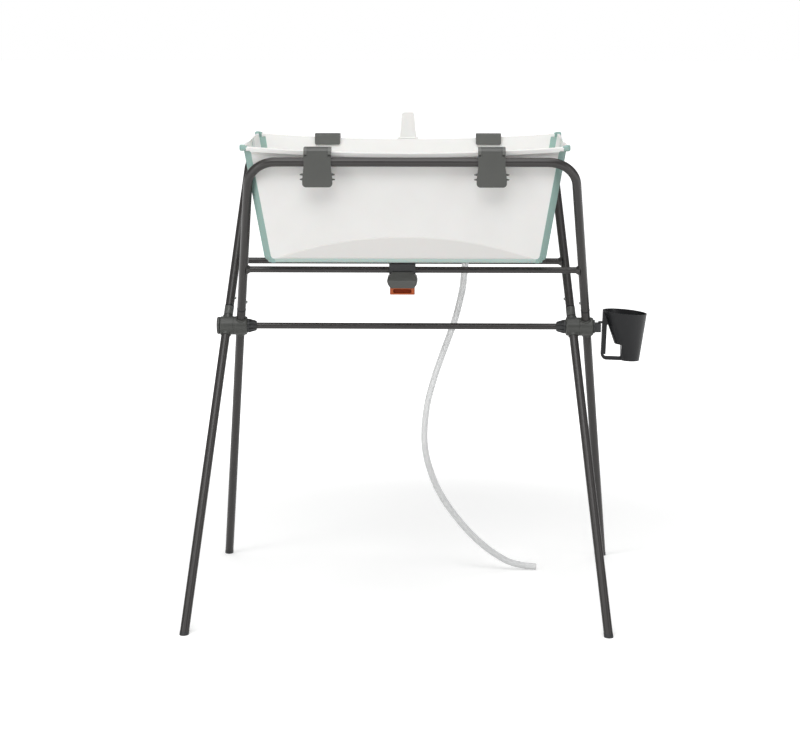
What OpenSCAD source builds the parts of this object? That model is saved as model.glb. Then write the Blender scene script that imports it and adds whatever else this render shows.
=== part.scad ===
// Folding baby bath hung between two crossed tube frames, with a drain hose and a rinse cup.
// Frame: +Z up, X along the bath, Y across it, the front is at -Y. Millimetres.

/* [Stand] */
// Outer diameter of the frame tube
tube_d = 19; // [17:0.5:22]
// Wall of the frame tube
tube_t = 1.2; // [0.8:0.1:2]
// Diameter of the lower bars
bar_d = 13.5; // [11:0.5:15]
// Height of the axle at which the two frames cross
hub_h = 597; // [560:1:640]
// Height of the top bars
top_h = 970; // [930:1:1010]
// Height of the lower bars
low_h = 730; // [715:1:750]
// Distance from the end of the bath's rim to the frame's corner
corner_gap = 3; // [2:0.5:12]
// Half width of a frame at its feet
foot_w = 440; // [400:1:470]
// Distance between the two frames, side by side
side_gap = 30; // [29:0.5:40]
// Radius of the bends at the top corners
bend_r = 60; // [45:1:75]
// Distance from the axle up to the joint of the lower legs
joint_s = 45; // [40:1:60]
// Length of the plug of a lower leg inside the upper tube
plug_l = 40; // [30:1:60]
// Radius of the weld bead where a lower bar meets a leg
weld_r = 5; // [2:0.5:7]

/* [Hubs] */
// Diameter of a hub collar
hub_d = 40; // [36:1:48]
// Diameter of the axle through the hubs
axle_d = 8; // [6:0.5:10]
// Diameter of the cross tube between the hubs
spreader_d = 13.5; // [11:0.5:16]
// Reach of the domed cap beyond the outer hub
cap_l = 6; // [4:0.5:10]
// Length of the cone between a hub and the cross tube
cone_l = 20; // [14:1:30]
// Diameter of the cone at the hub
cone_d = 30; // [24:1:34]

/* [Bath] */
// Length of the bath at the rim
bath_l = 664; // [640:1:670]
// Width of the bath at the rim
bath_w = 392; // [370:1:410]
// Depth of the bath from the rim's corners to the bottom
bath_h = 241; // [225:1:250]
// Length of the bottom
floor_l = 586; // [560:1:600]
// Width of the bottom
floor_w = 300; // [280:1:320]
// Thickness of the stiff panels
panel_t = 2.4; // [1.8:0.1:3]
// Dip of the long rims at their middle
rim_dip = 13; // [5:0.5:20]
// Height of the rim band
rim_h = 8; // [6:0.5:12]
// Reach of the rim band outside the panel
rim_out = 8; // [6:0.5:10]
// Height of the rim's corners over the top bars
rim_rise = 27; // [24:0.5:32]
// Width that the bevelled corner seam takes from each panel
seam_w = 13; // [9:0.5:15]
// Width of the bottom seam on each side of its crease
low_seam_w = 7; // [6:0.5:10]
// Half width of the flexible strip along the middle of the bottom
mid_seam_w = 27; // [26:0.5:30]
// Half width of the flexible strip down the middle of an end
end_seam_w = 37; // [36:0.5:40]
// Distance of the bottom's crease point from the end of the bottom
gusset_d = 142.6; // [120:0.1:160]
// Height of the arched field on the long walls
arch_h = 55; // [40:1:80]

/* [Clips] */
// Distance of the clips from the middle of the bath
clip_x = 179; // [150:1:210]
// Width of a clip at its top
clip_w = 56; // [46:1:64]
// Distance from the rim to the axis of the top bar, outward
bar_out = 14; // [11:0.5:16]
// Thickness of a clip's front plate
flap_t = 4; // [3:0.25:5]
// Reach of a clip below the bar's axis
flap_low = 51; // [40:1:56]
// Diameter of a clip's hinge pin
pin_d = 4; // [3:0.5:5]
// Outer diameter of a clip's hinge barrel
barrel_d = 18; // [15:0.5:19]

/* [Lock] */
// Sideways place of the lock on the lower front bar
lock_x = -7; // [-20:1:20]
// Width of the lock housing
lock_w = 65; // [50:1:75]
// Width of the guide arm under the bath
arm_w = 22; // [16:1:30]
// Width of the release button
button_w = 53; // [40:1:55]
// Travel of the release button
button_travel = 4; // [3:0.5:5]

/* [Drain] */
// Sideways place of the drain
drain_x = 128; // [118:1:134]
// Distance of the drain behind the middle of the bath
drain_y = 44; // [42:0.5:48]
// Bore of the drain
drain_bore = 18; // [14:0.5:20]
// Outer diameter of the hose
hose_d = 13.5; // [12:0.5:15]
// Length of the drain spout below the bottom
spout_l = 16; // [14:1:20]

/* [Strap] */
// Width of the closing strap at its foot
strap_w = 39; // [30:1:46]
// Width of the closing strap at its tip
strap_tip_w = 28; // [20:1:38]
// Height of the closing strap over the rim
strap_h = 57; // [45:1:62]

/* [Cup] */
// Length of the cup's oval rim
cup_d = 96; // [88:1:104]
// Width of the cup's oval rim
cup_w = 84; // [76:1:90]
// Outer diameter of the cup at its foot
cup_foot_d = 42; // [36:1:48]
// Height of the cup
cup_h = 108; // [95:1:120]
// Wall of the cup
cup_t = 2; // [1.5:0.25:3]
// Distance from the cup's axis to the outside of its handle
handle_reach = 63; // [58:1:68]
// Thickness of the handle
handle_t = 10; // [8:0.5:12]
// Tilt of the hanging cup, away from the hub at its rim
cup_tilt = 2; // [0:0.5:4]
// Slope of the cup's rim, down from the handle
rim_slope = 3; // [0:0.5:6]

/* [Hidden] */

// Finish of the round parts and the clearances between pieces
$fn = 64;
slack = 0.3;
running = 0.08;
eps = 0.01;

// Colours
c_tube = "#4b4a48";
c_plastic = "#5f605d";
c_dark = "#2b2b2b";
c_white = "#f1f0ec";
c_aqua = "#9ccbbd";
c_orange = "#c2501c";
c_clear = "#dfe3e1";

// Stand
top_w = bath_l / 2 + corner_gap;
top_y = bath_w / 2 + bar_out;
spread = atan(top_y / (top_h - hub_h));
top_s = norm([top_y, top_h - hub_h]);
foot_s = -hub_h / cos(spread);
low_s = (low_h - hub_h) / cos(spread);
lean = atan((foot_w - top_w) / (top_s - foot_s));
hub_w = top_w + top_s * tan(lean);
low_y = (low_h - hub_h) * tan(spread);
button_s = joint_s + 0.186 * (low_s - joint_s);
bore_d = tube_d - 2 * tube_t;
far = 2 * top_h;
bend_turn = 90 - lean;
bend_t = bend_r * tan(bend_turn / 2);
plug_d = bore_d - 0.2;
cap_h = 8;

// Hubs
collar_l = side_gap - slack;
axle_in = hub_w - side_gap / 2 - collar_l / 2;
axle_out = hub_w + side_gap / 2 + collar_l / 2 + slack;
spreader_l = axle_in - slack - cone_l;

// Bath
rim_z = top_h + rim_rise;
floor_z = rim_z - bath_h;
rim_y = bath_w / 2;
floor_y = floor_w / 2;
rim_x = bath_l / 2;
floor_x = floor_l / 2;
wall_lean = atan((rim_y - floor_y) / bath_h);
wall_h = norm([rim_y - floor_y, bath_h]);
end_lean = atan((rim_x - floor_x) / bath_h);
end_h = norm([rim_x - floor_x, bath_h]);
rim_low = rim_dip + rim_h / 2;
dip_r = (rim_x * rim_x + rim_dip * rim_dip) / (2 * rim_dip);
arch_r = (floor_x * floor_x + arch_h * arch_h) / (2 * arch_h);

// Axis of the strap, over the middle of the rear rim, as its Y and Z
strap_c = [rim_y - rim_low * tan(wall_lean) + 4, rim_z - rim_dip + rim_h / 2 + 2.4];

// Clips, in the plane across the bath at the front
bar_c = [-top_y, top_h];
pin_c = [-top_y - 3, top_h + 21];
barrel_r = barrel_d / 2;
roof_z = pin_c[1] + barrel_r;
plate_y = pin_c[0] - barrel_r;
knuckle_w = 6;
flare = 3;
lip_y = -rim_y + 9.5;
roof_t = 5;
lip_h = 24;

// Lock
lock_top = low_h + bar_d / 2 + 6;
lock_low = low_h - 38;
lock_front = -low_y - 20;
lock_back = -low_y + 17;
lock_mid = (lock_back + lock_front) / 2;
neck_w = 43;
saddle_w = 56;
saddle_h = bar_d + 10;
saddle_up = 4;
saddle_deep = lock_back - lock_front - 14;
arm_t = 3;
arm_gap = bar_d + 0.6;

// Route of the drain hose, from the spout to its open end on the ground
hose_top = floor_z - panel_t / 2 - spout_l;
hose_route = [
    [drain_x, drain_y, hose_top], [127, 45, 720], [125, 46, 700], [122, 48, 672], [115, 54, 639], [107, 59, 607],
    [97, 65, 575], [86, 70, 544], [75, 76, 512], [64, 81, 480], [55, 87, 448], [47, 93, 416], [42, 99, 383],
    [39, 105, 350], [39, 111, 317], [43, 117, 284], [51, 124, 252], [62, 130, 220], [76, 136, 190],
    [93, 142, 161], [112, 149, 134], [132, 155, 108], [154, 163, 83], [178, 170, 60], [203, 178, 40],
    [231, 186, 22], [262, 192, 11], [295, 194, 7]
];
hose_sides = 10;

// Cup
cup_x = axle_out + 16.4 + handle_reach;
cup_z = hub_h - 73;
cup_mid = cup_d / 2 - handle_reach;
cup_end = cup_x + cup_mid + cup_d / 2 + cup_h * sin(cup_tilt);
origin_x = round((cup_end - foot_w - side_gap / 2 - tube_d / 2 - 1) / 2);
tongue_t = 3.4;
tongue_w = 15;
tongue_l = 17;
tongue_z = 81;
grip_low = 6;
socket_z = hub_h + 8;

// Helpers

// Moves the middle of the whole part's outline, cup and feet included, to the origin
module place() {
    translate([-origin_x, 0, 0])
        children();
}

module both() {
    children();
    mirror([1, 0, 0]) children();
}

// Puts a frame's own plane in place: X across, Z up along the legs from the axle
module in_frame(front) {
    translate([front ? side_gap / 2 : -side_gap / 2, 0, hub_h])
        rotate([front ? spread : -spread, 0, 0])
            children();
}

// Puts a long wall's own plane in place: X along, Y up the wall, Z outward
module in_wall(front) {
    mirror([0, front ? 0 : 1, 0])
        translate([0, -floor_y, floor_z])
            rotate([90 + wall_lean, 0, 0])
                children();
}

// Puts an end's own plane in place: X across the bath, Y up the end, Z outward
module in_end(front, right) {
    mirror([right ? 0 : 1, 0, 0])
        mirror([0, front ? 0 : 1, 0])
            translate([floor_x, 0, floor_z])
                rotate([0, end_lean, 0])
                    rotate([90, 0, 90])
                        children();
}

module rounded_rect(w, h, r) {
    square([w - 2 * r, h], center = true);
    square([w, h - 2 * r], center = true);
    for (x = [-1, 1])
        for (y = [-1, 1])
            translate([x * (w / 2 - r), y * (h / 2 - r)])
                circle(r);
}

// Stand: one bent tube makes the top bar and the upper legs

module straight(a, b, d) {
    v = b - a;
    translate(a)
        rotate([0, acos(v[2] / norm(v)), atan2(v[1], v[0])])
            cylinder(h = norm(v), d = d);
}

// Point on a leg's axis at height s over the axle, in the frame's plane
function leg_at(s) = [hub_w - s * tan(lean), 0, s];

module leg_length(s0, s1, d) {
    straight(leg_at(s0), leg_at(s1), d);
}

// The bent tube's run at a diameter, whose bends differ a little from its straight lengths
module bent_run(d, d_bend, s0) {
    bend_end = top_s - bend_t * cos(lean);
    arc_x = top_w - bend_t;
    translate([-arc_x - 1, 0, top_s])
        rotate([0, 90, 0])
            cylinder(h = 2 * arc_x + 2, d = d);
    both() {
        translate([arc_x, 0, top_s - bend_r])
            rotate([90, 0, 0])
                rotate([0, 0, 90 - bend_turn])
                    rotate_extrude(angle = bend_turn)
                        translate([bend_r, 0])
                            circle(d = d_bend);
        leg_length(s0, bend_end + 1, d);
    }
}

module upper_frame(front) {
    color(c_tube) place()
        in_frame(front)
            difference() {
                bent_run(tube_d, tube_d + 0.1, joint_s);
                bent_run(bore_d, bore_d - 0.1, joint_s - 1);
                both()
                    button_hole();
            }
}

// Hole for the snap button, through the wall that faces the middle
module button_hole() {
    translate(leg_at(button_s))
        rotate([0, -90 - lean, 0])
            cylinder(h = tube_d, d = 6 + 2 * slack);
}

module lower_bar(front) {
    p = leg_at(low_s);
    color(c_tube) place()
        in_frame(front)
            difference() {
                union() {
                    translate([-p[0], 0, low_s])
                        rotate([0, 90, 0])
                            cylinder(h = 2 * p[0], d = bar_d);
                    both()
                        translate([p[0] - tube_d / 2 - weld_r, 0, low_s])
                            rotate([0, 90, 0])
                                cylinder(h = weld_r + 3, d1 = bar_d, d2 = bar_d + 2 * weld_r);
                }
                both()
                    leg_length(low_s - 2 * bar_d, low_s + 2 * bar_d, tube_d + 0.1);
                translate([-p[0], 0, low_s])
                    rotate([0, 90, 0])
                        cylinder(h = 2 * p[0], d = bar_d - 2 * tube_t);
            }
}

module lower_legs(front) {
    color(c_tube) place()
        in_frame(front)
            both()
                difference() {
                    union() {
                        leg_length(foot_s - 20, joint_s, tube_d);
                        leg_length(joint_s - eps, joint_s + plug_l, plug_d);
                    }
                    leg_length(foot_s - 30, joint_s - 10, bore_d);
                    leg_length(joint_s - 11, joint_s + plug_l + 1, plug_d - 2 * tube_t);
                    button_hole();
                    axle_hole();
                    below_foot(front, cap_h);
                }
}

// Everything of a frame below a height over the ground
module below_foot(front, h) {
    rotate([front ? -spread : spread, 0, 0])
        translate([0, -far / 2, -hub_h - far])
            cube([far, far, far + h]);
}

module axle_hole() {
    translate([hub_w - hub_d, 0, 0])
        rotate([0, 90, 0])
            cylinder(h = 2 * hub_d, d = axle_d + 2 * running);
}

// A hub collar: a barrel across the leg with a short neck each way along it
module hub_collars(front) {
    // The front frame is the outer one on the right and the inner one on the left
    color(c_plastic) place()
        in_frame(front)
            for (sx = [-1, 1]) {
                outer = (sx > 0) == front;
                mirror([sx > 0 ? 0 : 1, 0, 0])
                    difference() {
                        union() {
                            translate([hub_w, 0, 0])
                                rotate([0, outer ? 90 : -90, 0])
                                    collar_barrel();
                            leg_length(-hub_d / 2 - 2, hub_d / 2 + 2, tube_d + 4);
                        }
                        leg_length(-hub_d, hub_d, tube_d + 0.1);
                        axle_hole();
                    }
            }
}

// Barrel along Z with its rounded end up and its flat face down
module collar_barrel() {
    half = collar_l / 2;
    round_r = 4;
    translate([0, 0, -half])
        rotate_extrude() {
            square([hub_d / 2, collar_l - round_r]);
            square([hub_d / 2 - round_r, collar_l]);
            translate([hub_d / 2 - round_r, collar_l - round_r])
                circle(round_r);
        }
}

module foot_caps(front) {
    color(c_dark) place()
        in_frame(front)
            both()
                difference() {
                    union() {
                        // Foot under the tube's end
                        intersection() {
                            leg_length(foot_s - 20, foot_s + 30, tube_d + 0.6);
                            below_foot(front, cap_h - eps);
                        }
                        // Plug inside the tube
                        leg_length(foot_s - 20, foot_s + 34, bore_d - 2 * slack);
                    }
                    below_foot(front, 0);
                }
}

// Sprung button that locks a lower leg in the upper tube
module snap_button(front, right) {
    p = leg_at(button_s);
    wall = tube_d / 2;
    color(c_dark) place()
        in_frame(front)
            mirror([right ? 0 : 1, 0, 0])
                translate(p)
                    rotate([0, -90 - lean, 0]) {
                        cylinder(h = wall + 1.5, d = 6);
                        translate([0, 0, wall + 1.5])
                            cylinder(h = 1.5, d1 = 6, d2 = 4);
                        cylinder(h = wall - 2 * tube_t - 2.5, d = 9);
                    }
}

// Crossing of the frames: cross tube, cones, axles and the cup's holder

module spreader() {
    color(c_tube) place()
        translate([-spreader_l - 12, 0, hub_h])
            rotate([0, 90, 0])
                difference() {
                    cylinder(h = 2 * spreader_l + 24, d = spreader_d);
                    translate([0, 0, -1])
                        cylinder(h = 2 * spreader_l + 26, d = axle_d);
                }
}

// Cone with ribs and lightening holes, which centres the cross tube in the hub
module hub_cones() {
    color(c_dark) place()
        both()
            translate([spreader_l, 0, hub_h])
                rotate([0, 90, 0])
                    difference() {
                        union() {
                            cylinder(h = cone_l, d1 = spreader_d + 5, d2 = cone_d - 6);
                            translate([0, 0, cone_l - 4])
                                cylinder(h = 4, d = cone_d);
                            for (a = [0:60:300])
                                rotate([0, 0, a])
                                    rotate([90, 0, 0])
                                        linear_extrude(2.4, center = true)
                                            polygon([[0, 0], [spreader_d / 2 + 3.5, 0],
                                                [cone_d / 2, cone_l - 4], [0, cone_l - 4]]);
                        }
                        translate([0, 0, -1])
                            cylinder(h = 13, d = spreader_d);
                        translate([0, 0, -1])
                            cylinder(h = cone_l + 2, d = axle_d);
                    }
}

module hub_axles() {
    color(c_tube) place()
        both()
            translate([spreader_l + 3, 0, hub_h])
                rotate([0, 90, 0])
                    cylinder(h = axle_out + 2 - spreader_l - 3, d = axle_d);
    // Domed cap on the left end
    color(c_plastic) place()
        translate([-axle_out, 0, hub_h])
            rotate([0, -90, 0])
                rotate_extrude() {
                    round_r = cap_l / 2;
                    square([hub_d / 2 - 1 - round_r, cap_l]);
                    square([hub_d / 2 - 1, cap_l - round_r]);
                    translate([hub_d / 2 - 1 - round_r, cap_l - round_r])
                        circle(round_r - eps);
                }
}

// Socket on the right hub that takes the tongue of the cup
module cup_holder() {
    out = cup_x - handle_reach - slack - axle_out;
    color(c_dark) place()
        translate([axle_out, 0, hub_h])
            difference() {
                union() {
                    rotate([0, 90, 0])
                        cylinder(h = 3, d = 30);
                    translate([0, -11, -11])
                        cube([out, 22, 19]);
                }
                translate([-1, 0, 0])
                    rotate([0, 90, 0])
                        cylinder(h = 3, d = axle_d);
                translate([out - 2 - tongue_t - slack, -tongue_w / 2 - slack, tongue_z + cup_z - hub_h - tongue_l - slack])
                    cube([tongue_t + 2 * slack, tongue_w + 2 * slack, tongue_l + 1]);
            }
}

// Lock on the lower front bar

// Front view of the housing, with the neck that reaches up over the bar
module lock_outline() {
    h = lock_w / 2;
    n = neck_w / 2;
    polygon([[-n, 1], [-h + 7, -4], [-h + 1.5, -11], [-h, -18], [-h + 2, -26], [-h + 6, -32], [-h + 9, -34],
        [h - 9, -34], [h - 6, -32], [h - 2, -26], [h, -18], [h - 1.5, -11], [h - 7, -4], [n, 1]]);
}

// Side view of the housing, bulged at its front and chamfered under the bulge
module lock_profile() {
    polygon([[lock_front + 3, 2], [lock_front, -17], [lock_front + 0.5, -20],
        [lock_front + 6, -34], [lock_back - 4, -34], [lock_back, -30], [lock_back, -4], [lock_back - 5, 2]]);
}

module lock_housing() {
    mid = (lock_back + lock_front) / 2;
    color(c_plastic) place()
        difference() {
            translate([0, 0, low_h - 4])
                intersection() {
                    translate([lock_x, lock_back, 0])
                        rotate([90, 0, 0])
                            linear_extrude(lock_back - lock_front)
                                lock_outline();
                    translate([lock_x - lock_w, 0, 0])
                        rotate([90, 0, 90])
                            linear_extrude(2 * lock_w)
                                lock_profile();
                }
            translate([lock_x - lock_w, -low_y, low_h])
                rotate([0, 90, 0])
                    cylinder(h = 2 * lock_w, d = bar_d + 2 * running);
            // Mouth of the button
            translate([lock_x, mid - 2, low_h - 40])
                linear_extrude(16)
                    rounded_rect(button_w + 2 * slack, 18 + 2 * slack, 4 + slack);
            // Seat of the saddle
            translate([lock_x, lock_mid, low_h + saddle_up])
                cube([saddle_w + 2 * slack, saddle_deep + 2 * slack, saddle_h + 2 * slack], center = true);
        }
}

// Dark saddle block that clamps the lock on the bar
module lock_saddle() {
    color(c_dark) place()
        difference() {
            translate([lock_x, 0, 0])
                rotate([90, 0, 90])
                    linear_extrude(saddle_w, center = true)
                        translate([lock_mid, low_h + saddle_up])
                            rounded_rect(saddle_deep, saddle_h, 3);
            translate([lock_x - lock_w, -low_y, low_h])
                rotate([0, 90, 0])
                    cylinder(h = 2 * lock_w, d = bar_d + 2 * running);
        }
}

module release_button() {
    mid = (lock_back + lock_front) / 2;
    color(c_orange) place()
        difference() {
            translate([lock_x, mid - 2, lock_low - 14])
                linear_extrude(14 + 8 - button_travel)
                    rounded_rect(button_w, 18, 4);
            // Finger hollow in the front of the button, and grip grooves across its push face
            translate([lock_x, mid - 2 - 9, lock_low - 6.5])
                rotate([90, 0, 0])
                    linear_extrude(8, center = true)
                        rounded_rect(button_w - 14, 8.5, 3);
            for (x = [-18:6:18])
                translate([lock_x + x, mid, lock_low - 14])
                    rotate([90, 0, 0])
                        cylinder(h = 12, r = 1, center = true);
        }
}

// Loop in which the rear lower bar slides while the stand folds
module lock_arm() {
    h = arm_gap + 2 * arm_t;
    y0 = lock_back;
    y1 = low_y + bar_d / 2 + 10;
    color(c_plastic) place()
        translate([lock_x - arm_w / 2, 0, low_h])
            rotate([90, 0, 90])
                linear_extrude(arm_w)
                    difference() {
                        union() {
                            translate([y0, -h / 2])
                                square([y1 - y0 - h / 2, h]);
                            translate([y1 - h / 2, 0])
                                circle(h / 2);
                        }
                        translate([y0 + 6, -arm_gap / 2])
                            square([y1 - y0 - 6 - h / 2, arm_gap]);
                        translate([y1 - h / 2, 0])
                            circle(arm_gap / 2);
                    }
}

// Long walls

// Straight-sided outline of a long wall, drawn in by the given widths at its edges
module wall_outline(side, low) {
    slope = (rim_x - floor_x) / wall_h;
    polygon([[-floor_x + side - low * slope, low], [floor_x - side + low * slope, low],
        [rim_x - side + 20 * slope, wall_h + 20], [-rim_x + side - 20 * slope, wall_h + 20]]);
}

// The region above a long rim that dips by a given depth under its corners
module above_rim(drop) {
    translate([0, wall_h + rim_h / 2 - rim_dip - drop + dip_r])
        circle(dip_r, $fn = 360);
}

module wall(front) {
    color(c_white) place() {
        if (!front)
            strap_lugs();
        in_wall(front) {
            translate([0, 0, -panel_t / 2])
                linear_extrude(panel_t)
                    difference() {
                        wall_outline(seam_w + slack / 2, low_seam_w + slack / 2);
                        above_rim(0);
                    }
            // Rim band
            translate([0, 0, -panel_t / 2])
                linear_extrude(panel_t / 2 + rim_out)
                    intersection() {
                        difference() {
                            wall_outline(seam_w + slack / 2, low_seam_w);
                            above_rim(0);
                        }
                        above_rim(rim_h);
                    }
            // Arched field over the bottom seam
            translate([0, 0, panel_t / 2 - eps])
                linear_extrude(1.2)
                    intersection() {
                        wall_outline(seam_w + 14, low_seam_w + 3);
                        translate([0, arch_h - arch_r])
                            circle(arch_r, $fn = 360);
                    }
        }
    }
}

// Two lugs on the rear rim that hold the strap's pin
module strap_lugs() {
    for (sx = [-1, 1])
        translate([sx * (strap_w / 2 + slack + 2) - 2, strap_c[0], strap_c[1]])
            difference() {
                union() {
                    rotate([0, 90, 0])
                        cylinder(h = 4, d = 6);
                    translate([0, -3, -6])
                        cube([4, 6, 6]);
                }
                translate([-1, 0, 0])
                    rotate([0, 90, 0])
                        cylinder(h = 6, d = 2.4);
            }
}

// Point of the front wall at a distance along it, a height up it and a height off it
function wall_pt(u, h, n) = [u, -floor_y - h * sin(wall_lean) - n * cos(wall_lean),
    floor_z + h * cos(wall_lean) - n * sin(wall_lean)];

// Point of the right end at a distance across the bath, a height up it and a height off it
function end_pt(w, h, n) = [floor_x + h * sin(end_lean) + n * cos(end_lean), w,
    floor_z + h * cos(end_lean) - n * sin(end_lean)];

// Bevelled strip from the front wall to the right end
module corner_seam() {
    t = panel_t / 2;
    wall_slope = (rim_x - floor_x) / wall_h;
    end_slope = (rim_y - floor_y) / end_h;
    points = [for (h = [0, wall_h + 1]) each [
        for (n = [t, -t]) wall_pt(floor_x - seam_w + h * wall_slope, h, n),
        for (n = [-t, t]) end_pt(-floor_y + seam_w - h * end_slope, h * end_h / wall_h, n)]];
    polyhedron(points = points, faces = [[3, 2, 1, 0], [4, 5, 6, 7],
        [1, 5, 4, 0], [2, 6, 5, 1], [3, 7, 6, 2], [0, 4, 7, 3]]);
}

// Flexible corner seams and bottom seam of one long wall
module seams(front) {
    strip_x = floor_x - seam_w - slack;
    blob_r = rim_out + 0.5;
    blob_h = rim_h + 4.5;
    color(c_aqua) place() {
        // Bottom seam, one strip on the wall's side and one on the bottom's
        in_wall(front)
            translate([-strip_x, -1, -panel_t / 2])
                cube([2 * strip_x, low_seam_w + 1, panel_t]);
        mirror([0, front ? 0 : 1, 0])
            translate([-strip_x - 0.1, -floor_y - 0.3, floor_z - panel_t / 2])
                cube([2 * strip_x + 0.2, low_seam_w + 0.3, panel_t]);
        both()
            mirror([0, front ? 0 : 1, 0]) {
                corner_seam();
                // Rounded corner of the rim
                translate([rim_x - 2, -rim_y + 2, rim_z - rim_h / 2 - 1.5])
                    rotate_extrude()
                        polygon([[0, 0], [blob_r - 3, 0], [blob_r, 3], [blob_r, blob_h - 4],
                            [blob_r - 4, blob_h], [0, blob_h]]);
            }
    }
}

// Clips: a base that hooks over the rim onto the bar, and a front flap on a pin

// Base in the plane across the bath
module clip_base_profile(bridge) {
    difference() {
        union() {
            if (bridge)
                translate([pin_c[0], roof_z - roof_t])
                    square([lip_y - pin_c[0], roof_t]);
            translate(pin_c)
                circle(barrel_r);
            translate([pin_c[0] - barrel_r + flap_t + slack, bar_c[1] + 4])
                square([2 * barrel_r - flap_t - slack + 3, pin_c[1] - bar_c[1] - 4]);
        }
        translate(bar_c)
            circle(tube_d / 2 + running);
        translate(pin_c)
            circle(pin_d / 2 + running);
    }
}

module clip_bases(front) {
    color(c_plastic) place()
        mirror([0, front ? 0 : 1, 0])
            for (sx = [-1, 1])
                translate([sx * clip_x, 0, 0]) {
                    for (k = [-1, 1])
                        translate([k * (clip_w / 2 - knuckle_w / 2) - knuckle_w / 2, 0, 0])
                            rotate([90, 0, 90])
                                linear_extrude(knuckle_w)
                                    clip_base_profile(true);
                    // Bridge and inner lip over the full width, with rounded corners
                    translate([-clip_w / 2, pin_c[0] + barrel_r + slack, roof_z - roof_t])
                        cube([clip_w, lip_y - 1 - pin_c[0] - barrel_r - slack, roof_t]);
                    translate([0, lip_y, roof_z - lip_h / 2])
                        rotate([90, 0, 0])
                            linear_extrude(3.5)
                                rounded_rect(clip_w, lip_h, 4);
                }
}

module clip_pins(front) {
    color(c_tube) place()
        mirror([0, front ? 0 : 1, 0])
            for (sx = [-1, 1])
                translate([sx * clip_x - clip_w / 2 + 1, pin_c[0], pin_c[1]])
                    rotate([0, 90, 0])
                        cylinder(h = clip_w - 2, d = pin_d);
}

// Front view of the flap's plate, straight beside the bar and wider under it
module flap_outline() {
    low = bar_c[1] - flap_low;
    top = pin_c[1] - barrel_r - slack;
    waist = bar_c[1] - tube_d / 2;
    r = 8;
    w = clip_w / 2 + flare;
    polygon([[-clip_w / 2, top], [clip_w / 2, top], [clip_w / 2, waist], [w, low + 2 * r], [w, low + r],
        [w - r, low + r], [w - r, low], [-w + r, low], [-w + r, low + r], [-w, low + r], [-w, low + 2 * r],
        [-clip_w / 2, waist]]);
    for (sx = [-1, 1])
        translate([sx * (w - r), low + r])
            circle(r);
}

module clip_flap(front, right) {
    mid_w = clip_w - 2 * knuckle_w - 2 * slack;
    low = bar_c[1] - flap_low;
    color(c_plastic) place()
        mirror([0, front ? 0 : 1, 0])
            translate([right ? clip_x : -clip_x, 0, 0])
                difference() {
                    union() {
                        translate([0, plate_y + flap_t, 0])
                            rotate([90, 0, 0])
                                linear_extrude(flap_t)
                                    flap_outline();
                        translate([-mid_w / 2, 0, 0])
                            rotate([90, 0, 90])
                                linear_extrude(mid_w) {
                                    translate(pin_c)
                                        circle(barrel_r);
                                    translate([plate_y, pin_c[1] - barrel_r - 3])
                                        square([flap_t, barrel_r + 3]);
                                }
                        // Cradle ribs in front of the bar
                        for (x = [-20, 0, 20])
                            translate([x - 1.5, 0, 0])
                                rotate([90, 0, 90])
                                    linear_extrude(3)
                                        polygon([[plate_y + 1, bar_c[1] + 3], [bar_c[0] - 4, bar_c[1] + 3],
                                            [bar_c[0] - 1, bar_c[1] - 4], [bar_c[0] - 1, bar_c[1] - 13],
                                            [plate_y + flap_t, low + 10], [plate_y + 1, low + 10]]);
                        // Grip lugs at the sides
                        for (sx = [-1, 1])
                            for (z = [-25, -35])
                                translate([sx * clip_w / 2, plate_y + flap_t / 2 + 2, bar_c[1] + z])
                                    rotate([0, 90 * sx, 0])
                                        cylinder(h = 8, d1 = 6, d2 = 2.4);
                    }
                    translate([-clip_w, bar_c[0], bar_c[1]])
                        rotate([0, 90, 0])
                            cylinder(h = 2 * clip_w, d = tube_d + 2 * slack);
                    translate([-clip_w, pin_c[0], pin_c[1]])
                        rotate([0, 90, 0])
                            cylinder(h = 2 * clip_w, d = pin_d + 2 * running);
                }
}

// Bottom of the bath in two halves, which rise at their middle

// Half of the bottom in front, drawn in from the long crease, the corner creases and the middle
module bottom_outline(low, diag, mid) {
    k = gusset_d / floor_y;
    dx = diag * norm([gusset_d, floor_y]) / floor_y;
    a = floor_x - dx;
    polygon([for (s = [-1, 1]) each s < 0
        ? [[-(a - (floor_y - mid) * k), -mid], [-(a - low * k), -floor_y + low]]
        : [[a - low * k, -floor_y + low], [a - (floor_y - mid) * k, -mid]]]);
}

module bottom(front) {
    color(c_white) place()
        mirror([0, front ? 0 : 1, 0])
            difference() {
                union() {
                    translate([0, 0, floor_z - panel_t / 2])
                        linear_extrude(panel_t)
                            bottom_outline(low_seam_w + slack / 2, low_seam_w + slack / 2, mid_seam_w + slack / 2);
                    // Shallow raised field that stiffens the bottom
                    translate([0, 0, floor_z + panel_t / 2 - eps])
                        linear_extrude(1)
                            bottom_outline(low_seam_w + 12, low_seam_w + 14, mid_seam_w + 60);
                }
                if (!front)
                    translate([drain_x, -drain_y, floor_z - 10])
                        cylinder(h = 20, d = drain_bore + 6);
            }
}

module bottom_crease(front) {
    color(c_aqua) place()
        mirror([0, front ? 0 : 1, 0])
            translate([0, 0, floor_z - panel_t / 2])
                linear_extrude(panel_t)
                    difference() {
                        bottom_outline(low_seam_w + slack / 2, slack / 2, slack / 2);
                        bottom_outline(low_seam_w - 5, low_seam_w, mid_seam_w);
                    }
}

// Drain: flanged ring from above, spout from below, plug and hose

module drain_ring() {
    z = floor_z + panel_t / 2;
    color(c_white) place()
        translate([drain_x, drain_y, 0])
            difference() {
                union() {
                    translate([0, 0, z])
                        cylinder(h = 1.6, d = drain_bore + 16);
                    translate([0, 0, z - panel_t])
                        cylinder(h = panel_t + 1, d = drain_bore + 6);
                }
                translate([0, 0, z - 10])
                    cylinder(h = 20, d = drain_bore);
            }
}

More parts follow.
